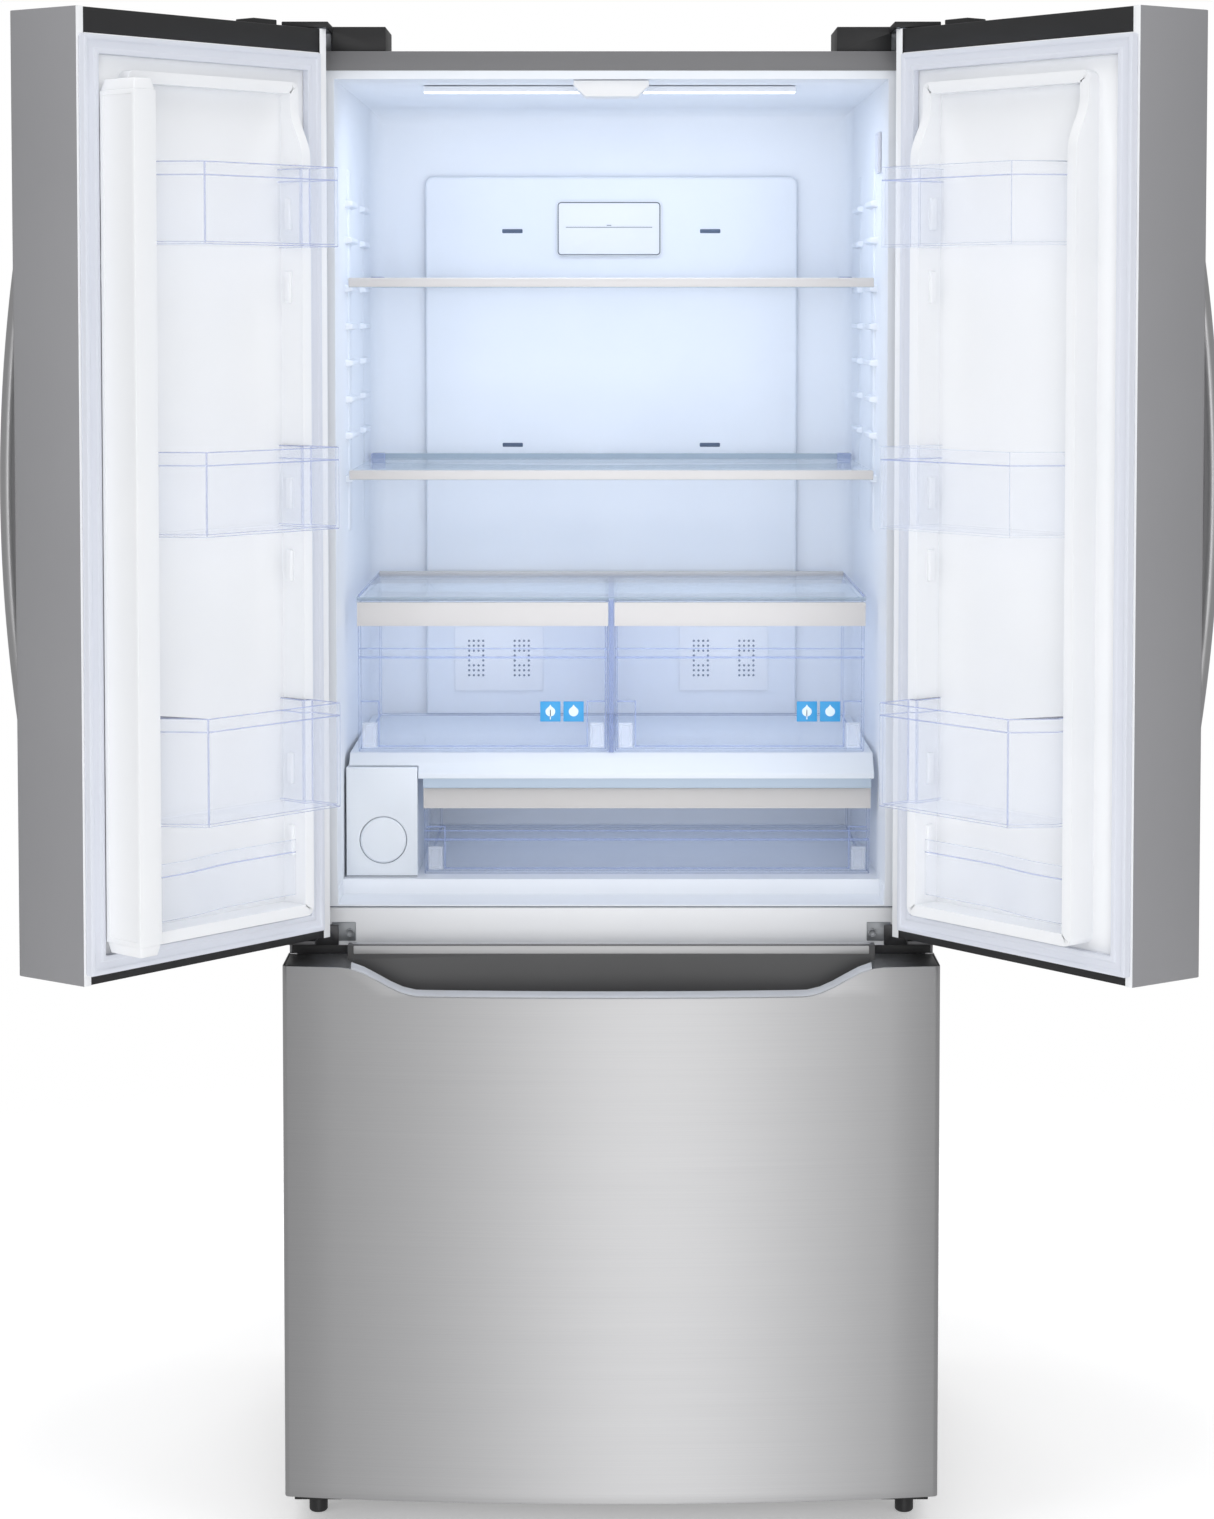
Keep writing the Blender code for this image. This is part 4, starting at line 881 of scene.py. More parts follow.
@dataclass
class Shelves:
    """Two glass shelves and the glass over the crispers."""

    trim: float = 0.0095
    clip: float = 0.018

    def build(self) -> None:
        """Builds and dresses the three glass pieces."""
        for node in ("upper_shelf", "middle_shelf"):
            self.shelf(node)
        self.crisper_glass()

    def shelf(self, node: str) -> None:
        """One shelf: its glass, its front trim, and clips at its rear corners.

        Args:
            node: the frame node and body.
        """
        low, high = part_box(node)
        plate = refined(node, node + "_glass")
        coat(plate, Finish.GLASS, Finish.GLASS_EDGE)
        paint(plate, 1, lambda c, n: c.y > high.y - 0.0115 or abs(n.y) > 0.9)
        soften(plate, 0.0008, 2)
        settle_on(plate, node, "shelf_glass", node)
        trim = block(node + "_front_trim", ((low.x, high.x), (low.y - 0.0006, low.y + self.trim),
                                            (high.z - 0.0160, high.z - 0.0046)))
        coat(soften(trim, 0.0016, 3), Finish.SILVER_TRIM)
        settle_on(trim, node, "silver_trim")
        clips = []
        for side in (-1, 1):
            x = (side * high.x, side * (high.x - self.clip))
            rear = block("clip", (x, (high.y - 0.030, high.y - 0.001), (high.z - 0.012, high.z + 0.001)))
            clips.append(soften(rear, 0.0018, 3))
        piece = coat(joined(node + "_clips", *clips), Finish.CLEAR_EDGE)
        settle_on(piece, node, "clear_plastic")

    def crisper_glass(self) -> None:
        """The glass over the crispers, its dividing wall and rear rail."""
        low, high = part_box("crisper_cover")
        plate = refined("crisper_cover", "crisper_glass")
        coat(plate, Finish.GLASS, Finish.CRISPER_EDGE, Finish.GLASS_EDGE)
        paint(plate, 1, lambda c, n: c.z < high.z - 0.006)
        paint(plate, 2, lambda c, n: abs(n.y) > 0.9 and c.z > high.z - 0.006)
        soften(plate, 0.0008, 2)
        settle_on(plate, "cabinet", "shelf_glass", "crisper_cover")
        rail = block("crisper_rear_rail", ((low.x + 0.002, high.x - 0.002),
                                           (high.y - 0.0075, high.y - 0.0005),
                                           (high.z - 0.003, high.z + 0.0035)))
        coat(soften(rail, 0.0015, 3), Finish.SILVER_TRIM)
        settle_on(rail, "cabinet", "silver_trim")
        for side, word in ((-1, "left"), (1, "right")):
            x = (side * (high.x - 0.001), side * (high.x - 0.0035))
            strip = block(f"{word}_glass_bead", (x, (low.y + 0.02, high.y - 0.01),
                                                 (high.z - 0.001, high.z + 0.002)))
            coat(soften(strip, 0.0008, 2), Finish.CLEAR_EDGE)
            settle_on(strip, "cabinet", "clear_plastic")


@dataclass
class PullOut:
    """A clear drawer with its silver trim, glide rib, corner lugs and printed squares."""

    node: str
    trim: float
    rib: float
    lug_height: float
    printed: bool
    wall: float = 0.0016
    lug: float = 0.024
    face_in: float = 0.010
    square: float = 0.0245
    square_gap: float = 0.0035
    squares_from_edge: float = 0.0815

    def build(self) -> None:
        """Builds and dresses the drawer."""
        low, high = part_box(self.node)
        tub = refined(self.node, self.node + "_tub")
        coat(tub, Finish.CRISPER, Finish.CRISPER_EDGE)
        paint_rims(tub, 1, 0.0029)
        soften(tub, 0.0011, 2, material=1)
        settle_on(tub, self.node, "clear_plastic", self.node)
        self.front(low, high)
        if self.printed:
            self.print_squares(low, high)

    def front(self, low: Vector, high: Vector) -> None:
        """Silver trim, the glide rib across the face, and a lug at each lower corner.

        Args:
            low: the drawer's lowest corner.
            high: its highest corner.
        """
        trim = block("trim", ((low.x - 0.0003, high.x + 0.0003), (low.y - 0.0008, low.y + 0.0115),
                              (high.z - self.trim - 0.0004, high.z + 0.0006)))
        sunk(trim, lambda c, n: n.y < -0.9, 0.0022, -0.0004)
        coat(soften(trim, 0.0009, 3), Finish.SILVER_TRIM)
        trim.name = self.node + "_trim"
        settle_on(trim, self.node, "silver_trim")
        front = low.y + self.face_in
        across = (low.x + 0.001, high.x - 0.001)
        raised = (front - 0.0020, front + 0.001)
        lug_top = low.z + self.lug_height
        boxes = [
            (across, (front - 0.0022, front + 0.001), (self.rib, self.rib + 0.0024)),
            (across, (front - 0.0010, front + 0.001), (self.rib + 0.011, self.rib + 0.0124)),
        ]
        for side, edge in ((1, low.x), (-1, high.x)):
            inner = edge + side * self.lug
            boxes.append(((inner, inner + side * self.wall), raised, (low.z + 0.006, lug_top)))
            boxes.append(((edge + side * 0.003, inner), raised, (lug_top - self.wall, lug_top)))
        boxes.append(((low.x + self.lug, high.x - self.lug), raised, (low.z + 0.006, low.z + 0.0076)))
        parts = [block("rib", box) for box in boxes]
        ribs = coat(soften(joined(self.node + "_ribs", *parts), 0.0004), Finish.CRISPER_EDGE)
        settle_on(ribs, self.node, "clear_plastic")
        feet = []
        for side, edge in ((1, low.x), (-1, high.x)):
            x = (edge + side * 0.0045, edge + side * 0.0215)
            z = (low.z + 0.004, low.z + self.lug_height * 0.55)
            foot = block("foot", (x, (front + 0.004, front + 0.012), z))
            sunk(foot, lambda c, n: n.y < -0.9, 0.003, 0.002)
            feet.append(soften(foot, 0.0012, 3))
        glide = coat(joined(self.node + "_glides", *feet), Finish.FROSTED)
        settle_on(glide, self.node, "clear_plastic")

    def print_squares(self, low: Vector, high: Vector) -> None:
        """Two plain blue squares, with a leaf and a drop in white.

        Args:
            low: the drawer's lowest corner.
            high: its highest corner.
        """
        front = low.y + self.face_in
        z = low.z + 0.0365
        x = high.x - self.squares_from_edge
        blues, whites = [], []
        for i in range(2):
            left = x + i * (self.square + self.square_gap)
            label = ((left, left + self.square), (front - 0.0009, front), (z, z + self.square))
            blues.append(soften(block("square", label), 0.0003))
            middle = (left + self.square / 2, front - 0.0011, z + self.square / 2)
            leaf = round_bar("leaf", middle, self.square * 0.24, 0.0006, "Y", 24)
            choose(leaf, Element.VERTICES, lambda co, m=middle: co.z > m[2] + 0.0030)
            bpy.ops.transform.resize(value=(0.25, 1, 1))
            bpy.ops.transform.translate(value=(0, 0, 0.0024))
            close_edit()
            whites.append(leaf)
            if i == 0:
                stem = ((middle[0] - 0.0006, middle[0] + 0.0006), (front - 0.0014, front - 0.0008),
                        (middle[2] - 0.0095, middle[2] + 0.002))
                whites.append(block("stem", stem))
        blue = coat(joined(self.node + "_blue_squares", *blues), Finish.BLUE_INK)
        white = coat(soften(joined(self.node + "_leaf_and_drop", *whites), 0.0001), Finish.WHITE_INK)
        for piece in (blue, white):
            settle_on(piece, self.node, "white_plastic")


@dataclass
class LowerDeck:
    """The white deck, the water filter's housing and its cap."""

    body: str = "cabinet"

    def build(self) -> None:
        """Builds and dresses the deck pieces."""
        # The deck, the filter's box and its cap wear the white ABS darkened and cooled as painted shade.
        for node, name, width in (
            ("deck_panel", "deck_moulding", 0.0012),
            ("filter_housing", "filter_box", 0.0025),
        ):
            piece = coat(soften(refined(node, name), width, 3), Finish.DECK_ABS)
            settle_on(piece, self.body, "white_plastic", node)
        cap = coat(soften(refined("filter_cap", "filter_knob"), 0.0008, 3), Finish.DECK_ABS)
        settle_on(cap, "filter_cap", "white_plastic", "filter_cap")
        low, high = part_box("filter_housing")
        # A blue-grey strip over the gap under the deck's front edge: painted shade of that gap.
        strip = block("deck_gap_painted_shade_strip", ((-0.2255, 0.3115), (FACE_Y + 0.0822, FACE_Y + 0.0842),
                                           (0.8568, 0.8705)))
        sunk(strip, lambda c, n: n.y < -0.9, 0.0015, 0.0004)
        coat(soften(strip, 0.0003), Finish.DECK_STRIP)
        settle_on(strip, self.body, "white_plastic")
        seam = block("filter_seam", ((low.x, high.x), (low.y - 0.0004, low.y + 0.001),
                                     (low.z + 0.0010, low.z + 0.0020)))
        coat(soften(seam, 0.0002), Finish.DARK_INK)
        settle_on(seam, self.body, "white_plastic")


# Doors -----------------------------------------------------------------------------------------


@dataclass
class Door:
    """One fresh food door. Its pieces are drawn as (u, n, z): u from the hinge edge, n inwards."""

    word: str
    side: int
    opening: float
    dike_u: tuple[float, float] = (0.059, 0.308)
    dike_z: tuple[float, float] = (0.742, 1.684)
    dike_height: float = 0.035
    dike_wall: float = 0.013
    recess: float = 0.017
    step_z: tuple[float, float] = (1.598, 1.656)
    step_drop: float = 0.019
    step_cuts: int = 10
    seal_width: float = 0.020
    rail_z: tuple[float, float] = (0.7650, 0.8280)
    rail_line: tuple[float, float] = (0.8130, 0.8144)
    rail_spans: int = 24
    pull_z: tuple[float, float] = (0.958, 1.494)
    pull_u: float = 0.340
    pull_foot: float = -0.1024
    pull_ends_out: float = 0.020
    pull_middle_out: float = 0.0488
    levels: dict[str, float] = field(
        default_factory=lambda: {"lower": 0.871, "middle": 1.184, "upper": 1.498}
    )

    @property
    def body(self) -> str:
        """The frame body that the door's pieces ride on."""
        return self.word + "_door"

    def place(self, obj: bpy.types.Object) -> bpy.types.Object:
        """Moves a piece drawn as (u, n, z) to its place on the open door.

        Args:
            obj: the piece.

        Returns:
            The piece, in the room.
        """
        side = self.side
        closed = Matrix(
            ((-side, 0, 0, side * HALF), (0, 1, 0, FACE_Y - SEAL_GAP), (0, 0, 1, 0), (0, 0, 0, 1))
        )
        pivot = Vector((side * (HALF - AXIS_U), FACE_Y - SEAL_GAP - AXIS_V, 0))
        turn = Matrix.Rotation(math.radians(side * self.opening), 4, "Z")
        obj.matrix_world = Matrix.Translation(pivot) @ turn @ Matrix.Translation(-pivot) @ closed
        settle(obj)
        if side > 0:
            choose(obj, Element.FACES, lambda c, n: True)
            bpy.ops.mesh.normals_make_consistent(inside=False)
            close_edit()
        return obj

    def build(self) -> None:
        """Builds and dresses every piece of the door."""
        self.skin()
        self.liner()
        self.lugs()
        self.retainer()
        self.handle()
        for node, finish, slot, width in (
            ("top_cap", Finish.BLACK_ABS, "black_plastic", 0.0012),
            ("bottom_cap", Finish.BLACK_ABS, "black_plastic", 0.0008),
        ):
            name = f"{self.word}_door_{node}"
            piece = coat(soften(refined(name, name + "_piece"), width, 3), finish)
            settle_on(piece, self.body, slot, name)
        self.gasket()
        for level in self.levels:
            self.bin(level)

    def skin(self) -> None:
        """Wrapped steel skin: brushed in front, grey on its sides."""
        name = f"{self.word}_door_panel"
        skin = refined(name, f"{self.word}_door_skin")
        coat(skin, Finish.GREY_PAINT, Finish.STAINLESS, Finish.DOOR_LINER)
        angle = math.radians(self.side * self.opening)
        out = Vector((math.sin(angle), -math.cos(angle), 0))
        paint(skin, 1, lambda c, n: n.dot(out) > 0.5)
        paint(skin, 2, lambda c, n: n.dot(out) < -0.9)
        soften(skin, 0.0005, 2, 50)
        settle_on(skin, self.body, "grey_steel", name)

    def liner(self) -> None:
        """Formed inner panel with its dike, which steps down near the top, and its recess."""
        u0, u1 = self.dike_u
        z0, z1 = self.dike_z
        top = self.dike_height
        base = block("base", ((0.0106, 0.3544), (-0.003, 0.0), (0.7123, 1.7217)))
        dike = block("dike", ((u0, u1), (-self.recess - 0.003, top), (z0, z1)))
        round_corners(dike, 0.010, 5)
        sunk(dike, lambda c, n: n.y > 0.9, self.dike_wall, top + self.recess)
        low, high = self.step_z
        steps = self.step_cuts
        heights = [low + (high - low) * i / steps for i in range(steps + 1)]
        cut_levels(dike, (0, 0, 1), heights)
        for i, height in enumerate(heights[1:], 1):
            share = (1 - math.cos(math.pi * i / steps)) / 2 - (1 - math.cos(math.pi * (i - 1) / steps)) / 2
            shifted(dike, Element.VERTICES, lambda co, h=height: co.y > 0.010 and co.z > h - TINY,
                    (0, -share * self.step_drop, 0))
        soften(dike, 0.0045, 4, 50)
        liner = joined(f"{self.word}_door_inner", soften(base, 0.001), dike)
        coat(liner, Finish.DOOR_LINER)
        settle_on(self.place(liner), self.body, "white_plastic", f"{self.word}_door_liner")

    def lugs(self) -> None:
        """Pairs of moulded posts that the bins hang on, and a rest at each wall."""
        parts = []
        u_in, u_out = self.dike_u[0] + self.dike_wall, self.dike_u[1] - self.dike_wall
        for bottom in self.levels.values():
            for z in (bottom + 0.020, bottom - 0.062):
                for wall, step in ((u_in - 0.001, 1), (u_out + 0.001, -1)):
                    for n in (-0.006, 0.014):
                        u = sorted((wall, wall + step * 0.0055))
                        post = block("post", (tuple(u), (n - 0.0045, n + 0.0045), (z, z + 0.036)))
                        parts.append(soften(post, 0.0018, 3))
        posts = coat(joined(f"{self.word}_door_posts", *parts), Finish.DOOR_LINER)
        settle_on(self.place(posts), self.body, "white_plastic")

    def rail_reach(self, step: int) -> float:
        """How far out the retainer's rail stands at a step along it."""
        t = min(1.0, max(0.0, (step / self.rail_spans - 0.42) / 0.40))
        return 0.013 * t * t * (3 - 2 * t)

    def retainer(self) -> None:
        """Clear rail across the foot of the door, curved out towards the free side."""
        u0, u1 = self.dike_u[0] + self.dike_wall - 0.001, self.dike_u[1] - self.dike_wall + 0.001
        rail = block(f"{self.word}_door_retainer", ((u0, u1), (0.017, 0.0195), self.rail_z))
        spans = self.rail_spans
        cut_levels(rail, (1, 0, 0), [u0 + (u1 - u0) * i / spans for i in range(1, spans)])
        cut_levels(rail, (0, 0, 1), list(self.rail_line))
        for i in range(1, spans + 1):
            edge = u0 + (u1 - u0) * i / spans
            shifted(rail, Element.VERTICES, lambda co, e=edge: co.x > e - TINY,
                    (0, self.rail_reach(i) - self.rail_reach(i - 1), 0))
        coat(rail, Finish.CLEAR, Finish.CLEAR_EDGE)
        low, high = self.rail_line
        paint(rail, 1, lambda c, n: abs(n.z) > 0.9 or abs(n.x) > 0.9 or low < c.z < high)
        soften(rail, 0.0006, 2)
        settle_on(self.place(rail), self.body, "clear_plastic")

    def gasket(self) -> None:
        """Vinyl seal with a groove pressed along its face."""
        name = f"{self.word}_door_gasket"
        u = (AXIS_U + 0.0003, 0.362)
        z = (0.7145, 1.7195)
        ring = block(f"{self.word}_door_seal", (u, (0.0003, 0.0097), z))
        opened(ring, self.seal_width, (sum(u) / 2, sum(z) / 2))
        choose(ring, Element.FACES, lambda c, n: n.y > 0.9)
        bpy.ops.mesh.inset(thickness=0.005, depth=0)
        bpy.ops.mesh.inset(thickness=0.0012, depth=-0.0016)
        close_edit()
        coat(soften(ring, 0.0009, 3), Finish.SEAL)
        settle_on(self.place(ring), self.body, "seal_rubber", name)

    def handle(self) -> None:
        """Bowed bar handle with a flattened section, on two posts."""
        node = f"{self.word}_door_handle"
        low, high = self.pull_z
        u, foot = self.pull_u, self.pull_foot
        near, far = foot - self.pull_ends_out, foot - self.pull_middle_out
        half = (high - low) / 2 - 0.009
        bow = far - near
        radius = (half * half + bow * bow) / (2 * abs(bow))
        sweep = 2 * math.asin(half / radius)
        bpy.ops.object.select_all(action="DESELECT")
        middle = (low + high) / 2
        start = (u, near, middle - half)
        bpy.ops.mesh.primitive_circle_add(
            vertices=24, radius=1, fill_type="NGON", location=start, rotation=(sweep / 2, 0, 0)
        )
        bar = bpy.context.active_object
        bar.scale = (0.0105, 0.0088, 1)
        settle(bar)
        choose(bar, Element.FACES, lambda c, n: True)
        bpy.ops.mesh.spin(
            steps=40, angle=sweep, center=(u, far + radius, middle), axis=(1, 0, 0), use_auto_merge=False
        )
        close_edit()
        choose(bar, Element.FACES, lambda c, n: True)
        bpy.ops.mesh.remove_doubles(threshold=1e-5)
        bpy.ops.mesh.normals_make_consistent(inside=False)
        close_edit()
        parts = [soften(bar, 0.003, 4, 60)]
        for z in (middle - half + 0.006, middle + half - 0.006):
            at = (u, (foot + near) / 2 + 0.001, z)
            post = round_bar("post", at, 0.0088, abs(foot - near) + 0.006, "Y", 28)
            parts.append(soften(post, 0.0012, 3))
            collar = round_bar("collar", (u, foot + 0.0002, z), 0.0115, 0.004, "Y", 28)
            parts.append(soften(collar, 0.0012, 3))
        handle = coat(joined(f"{self.word}_door_pull", *parts), Finish.STAINLESS)
        settle_on(self.place(handle), self.body, "stainless_steel", node)

    def bin(self, level: str) -> None:
        """One clear bin with a banded rim and lavender edges.

        Args:
            level: lower, middle or upper.
        """
        node = f"{self.word}_{level}_bin"
        low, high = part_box(node)
        tub = refined(node, node + "_tub")
        cut_levels(tub, (0, 0, 1), [high.z - 0.0155, high.z - 0.0140])
        coat(tub, Finish.CLEAR, Finish.CLEAR_EDGE)
        paint_rims(tub, 1, 0.0028)
        soften(tub, 0.0012, 2, material=1)
        settle_on(tub, node, "clear_plastic", node)


@dataclass
class Mullion:
    """Flipping bar folded on the left door, with end caps and cam clips."""

    door: Door
    u: tuple[float, float] = (0.312, 0.342)
    n: tuple[float, float] = (0.0102, 0.0658)
    z: tuple[float, float] = (0.7380, 1.6720)
    clips: tuple[tuple[float, float], ...] = (
        (1.585, 1.612), (1.545, 1.575), (1.476, 1.492), (1.457, 1.470)
    )

    def build(self) -> None:
        """Builds and dresses the bar."""
        z0, z1 = self.z
        bar = block("flip_bar", (self.u, self.n, (z0 + 0.012, z1 - 0.012)))
        sunk(bar, lambda c, n: n.x > 0.9, 0.005, 0.0010)
        parts = [soften(bar, 0.0018, 3)]
        inset = 0.0006
        within = ((self.u[0] + inset, self.u[1] - inset), (self.n[0] + inset, self.n[1] - inset))
        for ends, tip in (((z0, z0 + 0.0122), -1), ((z1 - 0.0122, z1), 1)):
            cap = block("cap", (*within, ends))
            tapered(cap, lambda c, n, t=tip: n.z * t > 0.9, (0.82, 0.9, 1))
            parts.append(soften(cap, 0.0015, 3))
        corner = ((self.u[1] - 0.008, self.u[1] - 0.0005), (self.n[0] - 0.0015, self.n[0] + 0.004))
        for ends in self.clips:
            parts.append(soften(block("clip", (*corner, ends)), 0.0010, 2))
        piece = coat(joined("flip_bar", *parts), Finish.DOOR_LINER)
        settle_on(self.door.place(piece), "mullion", "white_plastic", "mullion_bar")


# Freezer drawer and base -----------------------------------------------------------------------


@dataclass
class FreezerDrawer:
    """The bowed drawer front with its hand pocket, inner panel, seal, carriage and baskets."""

    body: str = "freezer_drawer"
    top: float = 0.6765
    side_depth: float = 0.078
    bow: float = 0.024
    pocket_half: float = 0.312
    pocket_flat: float = 0.219
    pocket_drop: float = 0.0325
    lip_half: float = 0.299
    lip_spans: int = 40
    lip_depth: float = 0.0125
    lip_rise: float = 0.0055
    skin_cuts: tuple[float, ...] = (0.002, 0.006, 0.012, 0.30, 0.575)

    def build(self) -> None:
        """Builds and dresses every piece of the drawer."""
        for node, name, finish, slot, width in (
            ("freezer_front", "drawer_skin", Finish.STAINLESS, "stainless_steel", 0.0005),
            ("freezer_grip", "hand_pocket", Finish.GREY_ABS, "black_plastic", 0.0012),
            ("freezer_inner_panel", "drawer_inner_panel", Finish.WHITE_ABS, "white_plastic", 0.0014),
            ("freezer_gasket", "drawer_seal", Finish.SEAL, "seal_rubber", 0.0015),
            ("freezer_carriage", "drawer_carriage", Finish.ZINC, "zinc_steel", 0.0006),
        ):
            piece = refined(node, name)
            if node == "freezer_front":
                edge = self.top - self.pocket_drop
                cut_levels(piece, (0, 0, 1), [edge - drop for drop in self.skin_cuts])
            piece = coat(soften(piece, width, 3, 50), finish)
            settle_on(piece, self.body, slot, node)
        self.pocket_trims()
        for node in ("lower_basket", "upper_basket"):
            piece = coat(soften(refined(node, node + "_tub"), 0.0011, 2), Finish.WHITE_ABS)
            settle_on(piece, node, "white_plastic", node)

    def edge_height(self, x: float) -> float:
        """Height of the steel edge along the pocket, which rises in a double curve at both ends."""
        t = min(1.0, max(0.0, (self.pocket_half - abs(x)) / (self.pocket_half - self.pocket_flat)))
        return self.top - self.pocket_drop * (1 - math.cos(math.pi * t)) / 2

    def edge_reach(self, x: float) -> float:
        """How far the bowed steel front stands out at x."""
        return self.side_depth + self.bow * (1 - (x / HALF) ** 2)

    def pocket_trims(self) -> None:
        """Rolled lip along the pocket's front edge, and the cap on its back wall."""
        cap = block("pocket_cap", ((-0.304, 0.304), (FACE_Y - 0.0465, FACE_Y - 0.0298), (0.6812, 0.6928)))
        tapered(cap, lambda c, n: n.y < -0.9, (0.985, 1, 0.9))
        coat(soften(cap, 0.0015, 3), Finish.LIP)
        settle_on(cap, self.body, "black_plastic")
        ends, spans = self.lip_half, self.lip_spans
        face = FACE_Y - SEAL_GAP
        lip = block("pocket_lip", ((-ends, ends), (face, face + self.lip_depth), (-0.004, 0.0)))
        stops = [-ends + 2 * ends * i / spans for i in range(spans + 1)]
        cut_levels(lip, (1, 0, 0), stops[1:-1])
        shifted(lip, Element.VERTICES, lambda co: co.y > face + TINY, (0, 0, self.lip_rise))
        for stop in stops:
            shifted(lip, Element.VERTICES, lambda co, x=stop: abs(co.x - x) < TINY,
                    (0, 0.0020 - self.edge_reach(stop), self.edge_height(stop) + 0.0004))
        coat(soften(lip, 0.0010, 3), Finish.LIP)
        settle_on(lip, self.body, "black_plastic")


@dataclass
class Workings:
    """Compressor, coils, fans, rollers and feet."""

    edge: float = 0.0006

    def build(self) -> None:
        """Builds and dresses the working pieces."""
        for node, body, finish, slot in (
            ("compressor", "cabinet", Finish.BLACK_PAINT, "black_steel"),
            ("condenser_coil", "cabinet", Finish.BLACK_PAINT, "black_steel"),
            ("evaporator", "cabinet", Finish.FINS, "fin_aluminium"),
            ("evaporator_fan", "evaporator_fan", Finish.BLACK_ABS, "black_plastic"),
            ("condenser_fan", "condenser_fan", Finish.BLACK_ABS, "black_plastic"),
            ("left_rear_roller", "left_rear_roller", Finish.BLACK_ABS, "black_plastic"),
            ("right_rear_roller", "right_rear_roller", Finish.BLACK_ABS, "black_plastic"),
            ("left_front_foot", "left_front_foot", Finish.BLACK_ABS, "black_plastic"),
            ("right_front_foot", "right_front_foot", Finish.BLACK_ABS, "black_plastic"),
        ):
            piece = coat(soften(refined(node, node + "_piece"), self.edge, 2), finish)
            settle_on(piece, body, slot, node)


# Studio ----------------------------------------------------------------------------------------


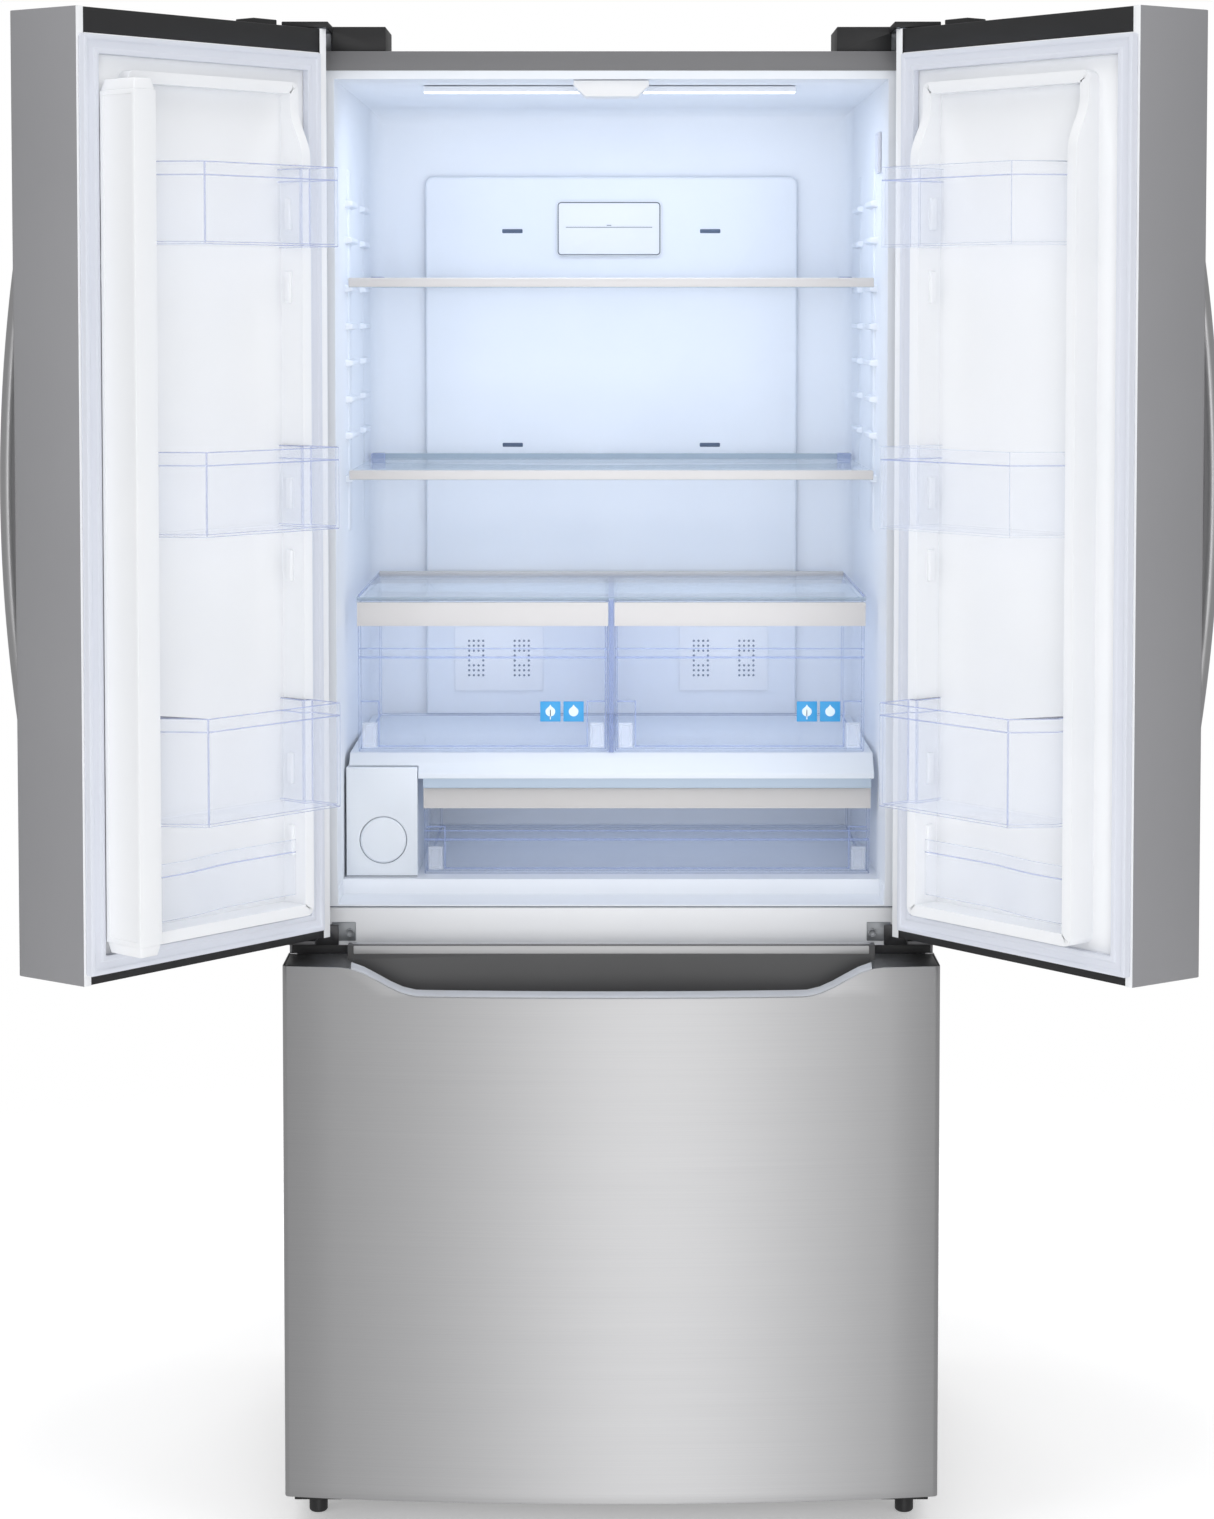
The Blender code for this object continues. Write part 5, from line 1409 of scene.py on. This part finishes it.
@dataclass
class Studio:
    """Pale floor, soft lights, a white room and the camera."""

    camera_at: tuple[float, float, float] = (0.0, FACE_Y - 3.6875, 1.4196)
    pitch: float = 3.0
    lens: float = 75.034
    shift: tuple[float, float] = (-0.00283, -0.18152)
    clear_faces: int = 40
    fade: tuple[float, float] = (0.7, 2.2)

    def build(self) -> None:
        """Builds the studio."""
        self.room()
        floor = block("studio_floor", ((-6, 6), (-6, 6), (-0.02, 0.0)))
        sunk(floor, lambda c, n: n.z < -0.9, 0.2, 0.001)
        floor.data.materials.append(self.paper())
        floor.visible_glossy = False
        floor.visible_shadow = False
        for name, at, width, power in (
            ("wide_softbox", (0.22, -4.9, -0.8), 4.6, 13),
            ("middle_softbox", (0.26, -4.8, -0.8), 2.4, 14),
            ("narrow_softbox", (0.30, -4.7, -0.8), 1.0, 9.5),
        ):
            self.lamp(name, at, (0.03, 0.0, -0.8), (width, 5.4), power)
        for name, at, aim, size, power in (
            ("front_fill", (0.0, -5.2, 1.2), (0.0, 0.0, 0.9), (3.6, 3.0), 76),
            ("left_softbox", (-3.4, -2.6, 2.4), (0.0, 0.0, 1.0), (2.2, 2.6), 32),
            ("right_softbox", (3.4, -2.6, 2.4), (0.0, 0.0, 1.0), (2.2, 2.6), 24),
            ("top_softbox", (0.0, -0.4, 4.2), (0.0, 0.0, 0.0), (4.5, 4.5), 80),
            ("back_softbox", (0.0, 4.0, 2.6), (0.0, 0.0, 1.0), (3.0, 2.5), 50),
        ):
            self.lamp(name, at, aim, size, power).visible_glossy = False
        for name, at, aim, size, power, colour in (
            ("cabin_light", (0.0, 0.115, 1.684), (0.0, 0.2, 0.9), (0.44, 0.03), 0.6, "#e2edff"),
            ("cabin_fill", (0.0, 0.03, 1.25), (0.0, 0.45, 1.25), (0.5, 0.8), 0.42, "#e8f0ff"),
            ("crisper_fill", (0.0, 0.28, 1.072), (0.0, 0.28, 0.0), (0.58, 0.30), 0.16, "#e8f0ff"),
            ("deli_fill", (0.04, 0.26, 0.850), (0.04, 0.26, 0.0), (0.48, 0.30), 0.16, "#dfeaff"),
        ):
            front = Vector((0.0, FACE_Y, 0.0))
            self.lamp(name, front + Vector(at), front + Vector(aim), size, power, colour)
        data = bpy.data.cameras.new("camera")
        data.lens = self.lens
        data.shift_x, data.shift_y = self.shift
        camera = bpy.data.objects.new("camera", data)
        camera.location = self.camera_at
        camera.rotation_euler = (math.radians(90 - self.pitch), 0, 0)
        bpy.context.scene.collection.objects.link(camera)
        bpy.context.scene.camera = camera
        bpy.context.scene.view_settings.view_transform = "Standard"
        bpy.context.scene.cycles.transparent_max_bounces = self.clear_faces

    def paper(self) -> bpy.types.Material:
        """White paper floor that fades into the white room away from the refrigerator."""
        material, shader, place = start_material(
            "studio_paper", Roughness=0.9, Emission_Color=(1, 1, 1, 1), Emission_Strength=0.3
        )
        tree = material.node_tree
        fibre = add_node(tree, "ShaderNodeTexNoise", {"Vector": place, "Scale": per_mm(2), "Detail": 2.0})
        tone = add_node(
            tree, "ShaderNodeMix",
            {0: fibre.outputs["Fac"], 6: linear("#fdfdfd"), 7: linear("#f9f9fa")}, data_type="RGBA",
        )
        tree.links.new(tone.outputs[2], shader.inputs["Base Color"])
        distance = add_node(tree, "ShaderNodeVectorMath", {0: place}, operation="LENGTH")
        fade = add_node(
            tree, "ShaderNodeMapRange",
            {
                "Value": distance.outputs["Value"],
                "From Min": self.fade[0], "From Max": self.fade[1], "To Min": 1.0, "To Max": 0.0,
            },
            interpolation_type="SMOOTHSTEP",
        )
        tree.links.new(fade.outputs[0], shader.inputs["Alpha"])
        return material

    def room(self) -> None:
        """White surroundings, dimmer where they light or reflect than where they are seen."""
        world = bpy.data.worlds.new("studio")
        bpy.context.scene.world = world
        world.use_nodes = True
        tree = world.node_tree
        tree.nodes.clear()
        seen = add_node(tree, "ShaderNodeLightPath").outputs["Is Camera Ray"]
        level = add_node(tree, "ShaderNodeMapRange", {"Value": seen, "To Min": 0.34, "To Max": 1.0})
        sky = add_node(tree, "ShaderNodeBackground", {"Color": (1, 1, 1, 1), "Strength": level.outputs[0]})
        add_node(tree, "ShaderNodeOutputWorld", {"Surface": sky.outputs[0]})

    def lamp(
        self, name: str, at: tuple[float, float, float], aim: tuple[float, float, float],
        size: tuple[float, float], power: float, colour: str = "#ffffff",
    ) -> bpy.types.Object:
        """Adds a rectangular soft light, unseen by the camera.

        Args:
            name: the light's name.
            at: where it hangs.
            aim: the point that it faces.
            size: its width and height.
            power: its power in watts.
            colour: its sRGB colour.

        Returns:
            The light.
        """
        data = bpy.data.lights.new(name, "AREA")
        data.shape = "RECTANGLE"
        data.size, data.size_y = size
        data.energy = power
        data.color = linear(colour)[:3]
        light = bpy.data.objects.new(name, data)
        light.location = at
        light.rotation_euler = (Vector(aim) - Vector(at)).to_track_quat("-Z", "Y").to_euler()
        light.visible_camera = False
        bpy.context.scene.collection.objects.link(light)
        return light


def main() -> None:
    """Builds every sub-assembly in order."""
    logging.basicConfig(level=logging.INFO, format="%(message)s")
    left = Door("left", -1, 131.0)
    assemblies = [
        Cabinet(), Lining(), Shelves(), LowerDeck(),
        PullOut("left_crisper", 0.027, 1.010, 0.062, True),
        PullOut("right_crisper", 0.027, 1.010, 0.062, True),
        PullOut("deli_drawer", 0.025, 0.7900, 0.058, False),
        left, Door("right", 1, 129.5), Mullion(left), FreezerDrawer(), Workings(), Studio(),
    ]
    for assembly in assemblies:
        log.info("building %s", type(assembly).__name__)
        assembly.build()


if __name__ == "__main__":
    main()
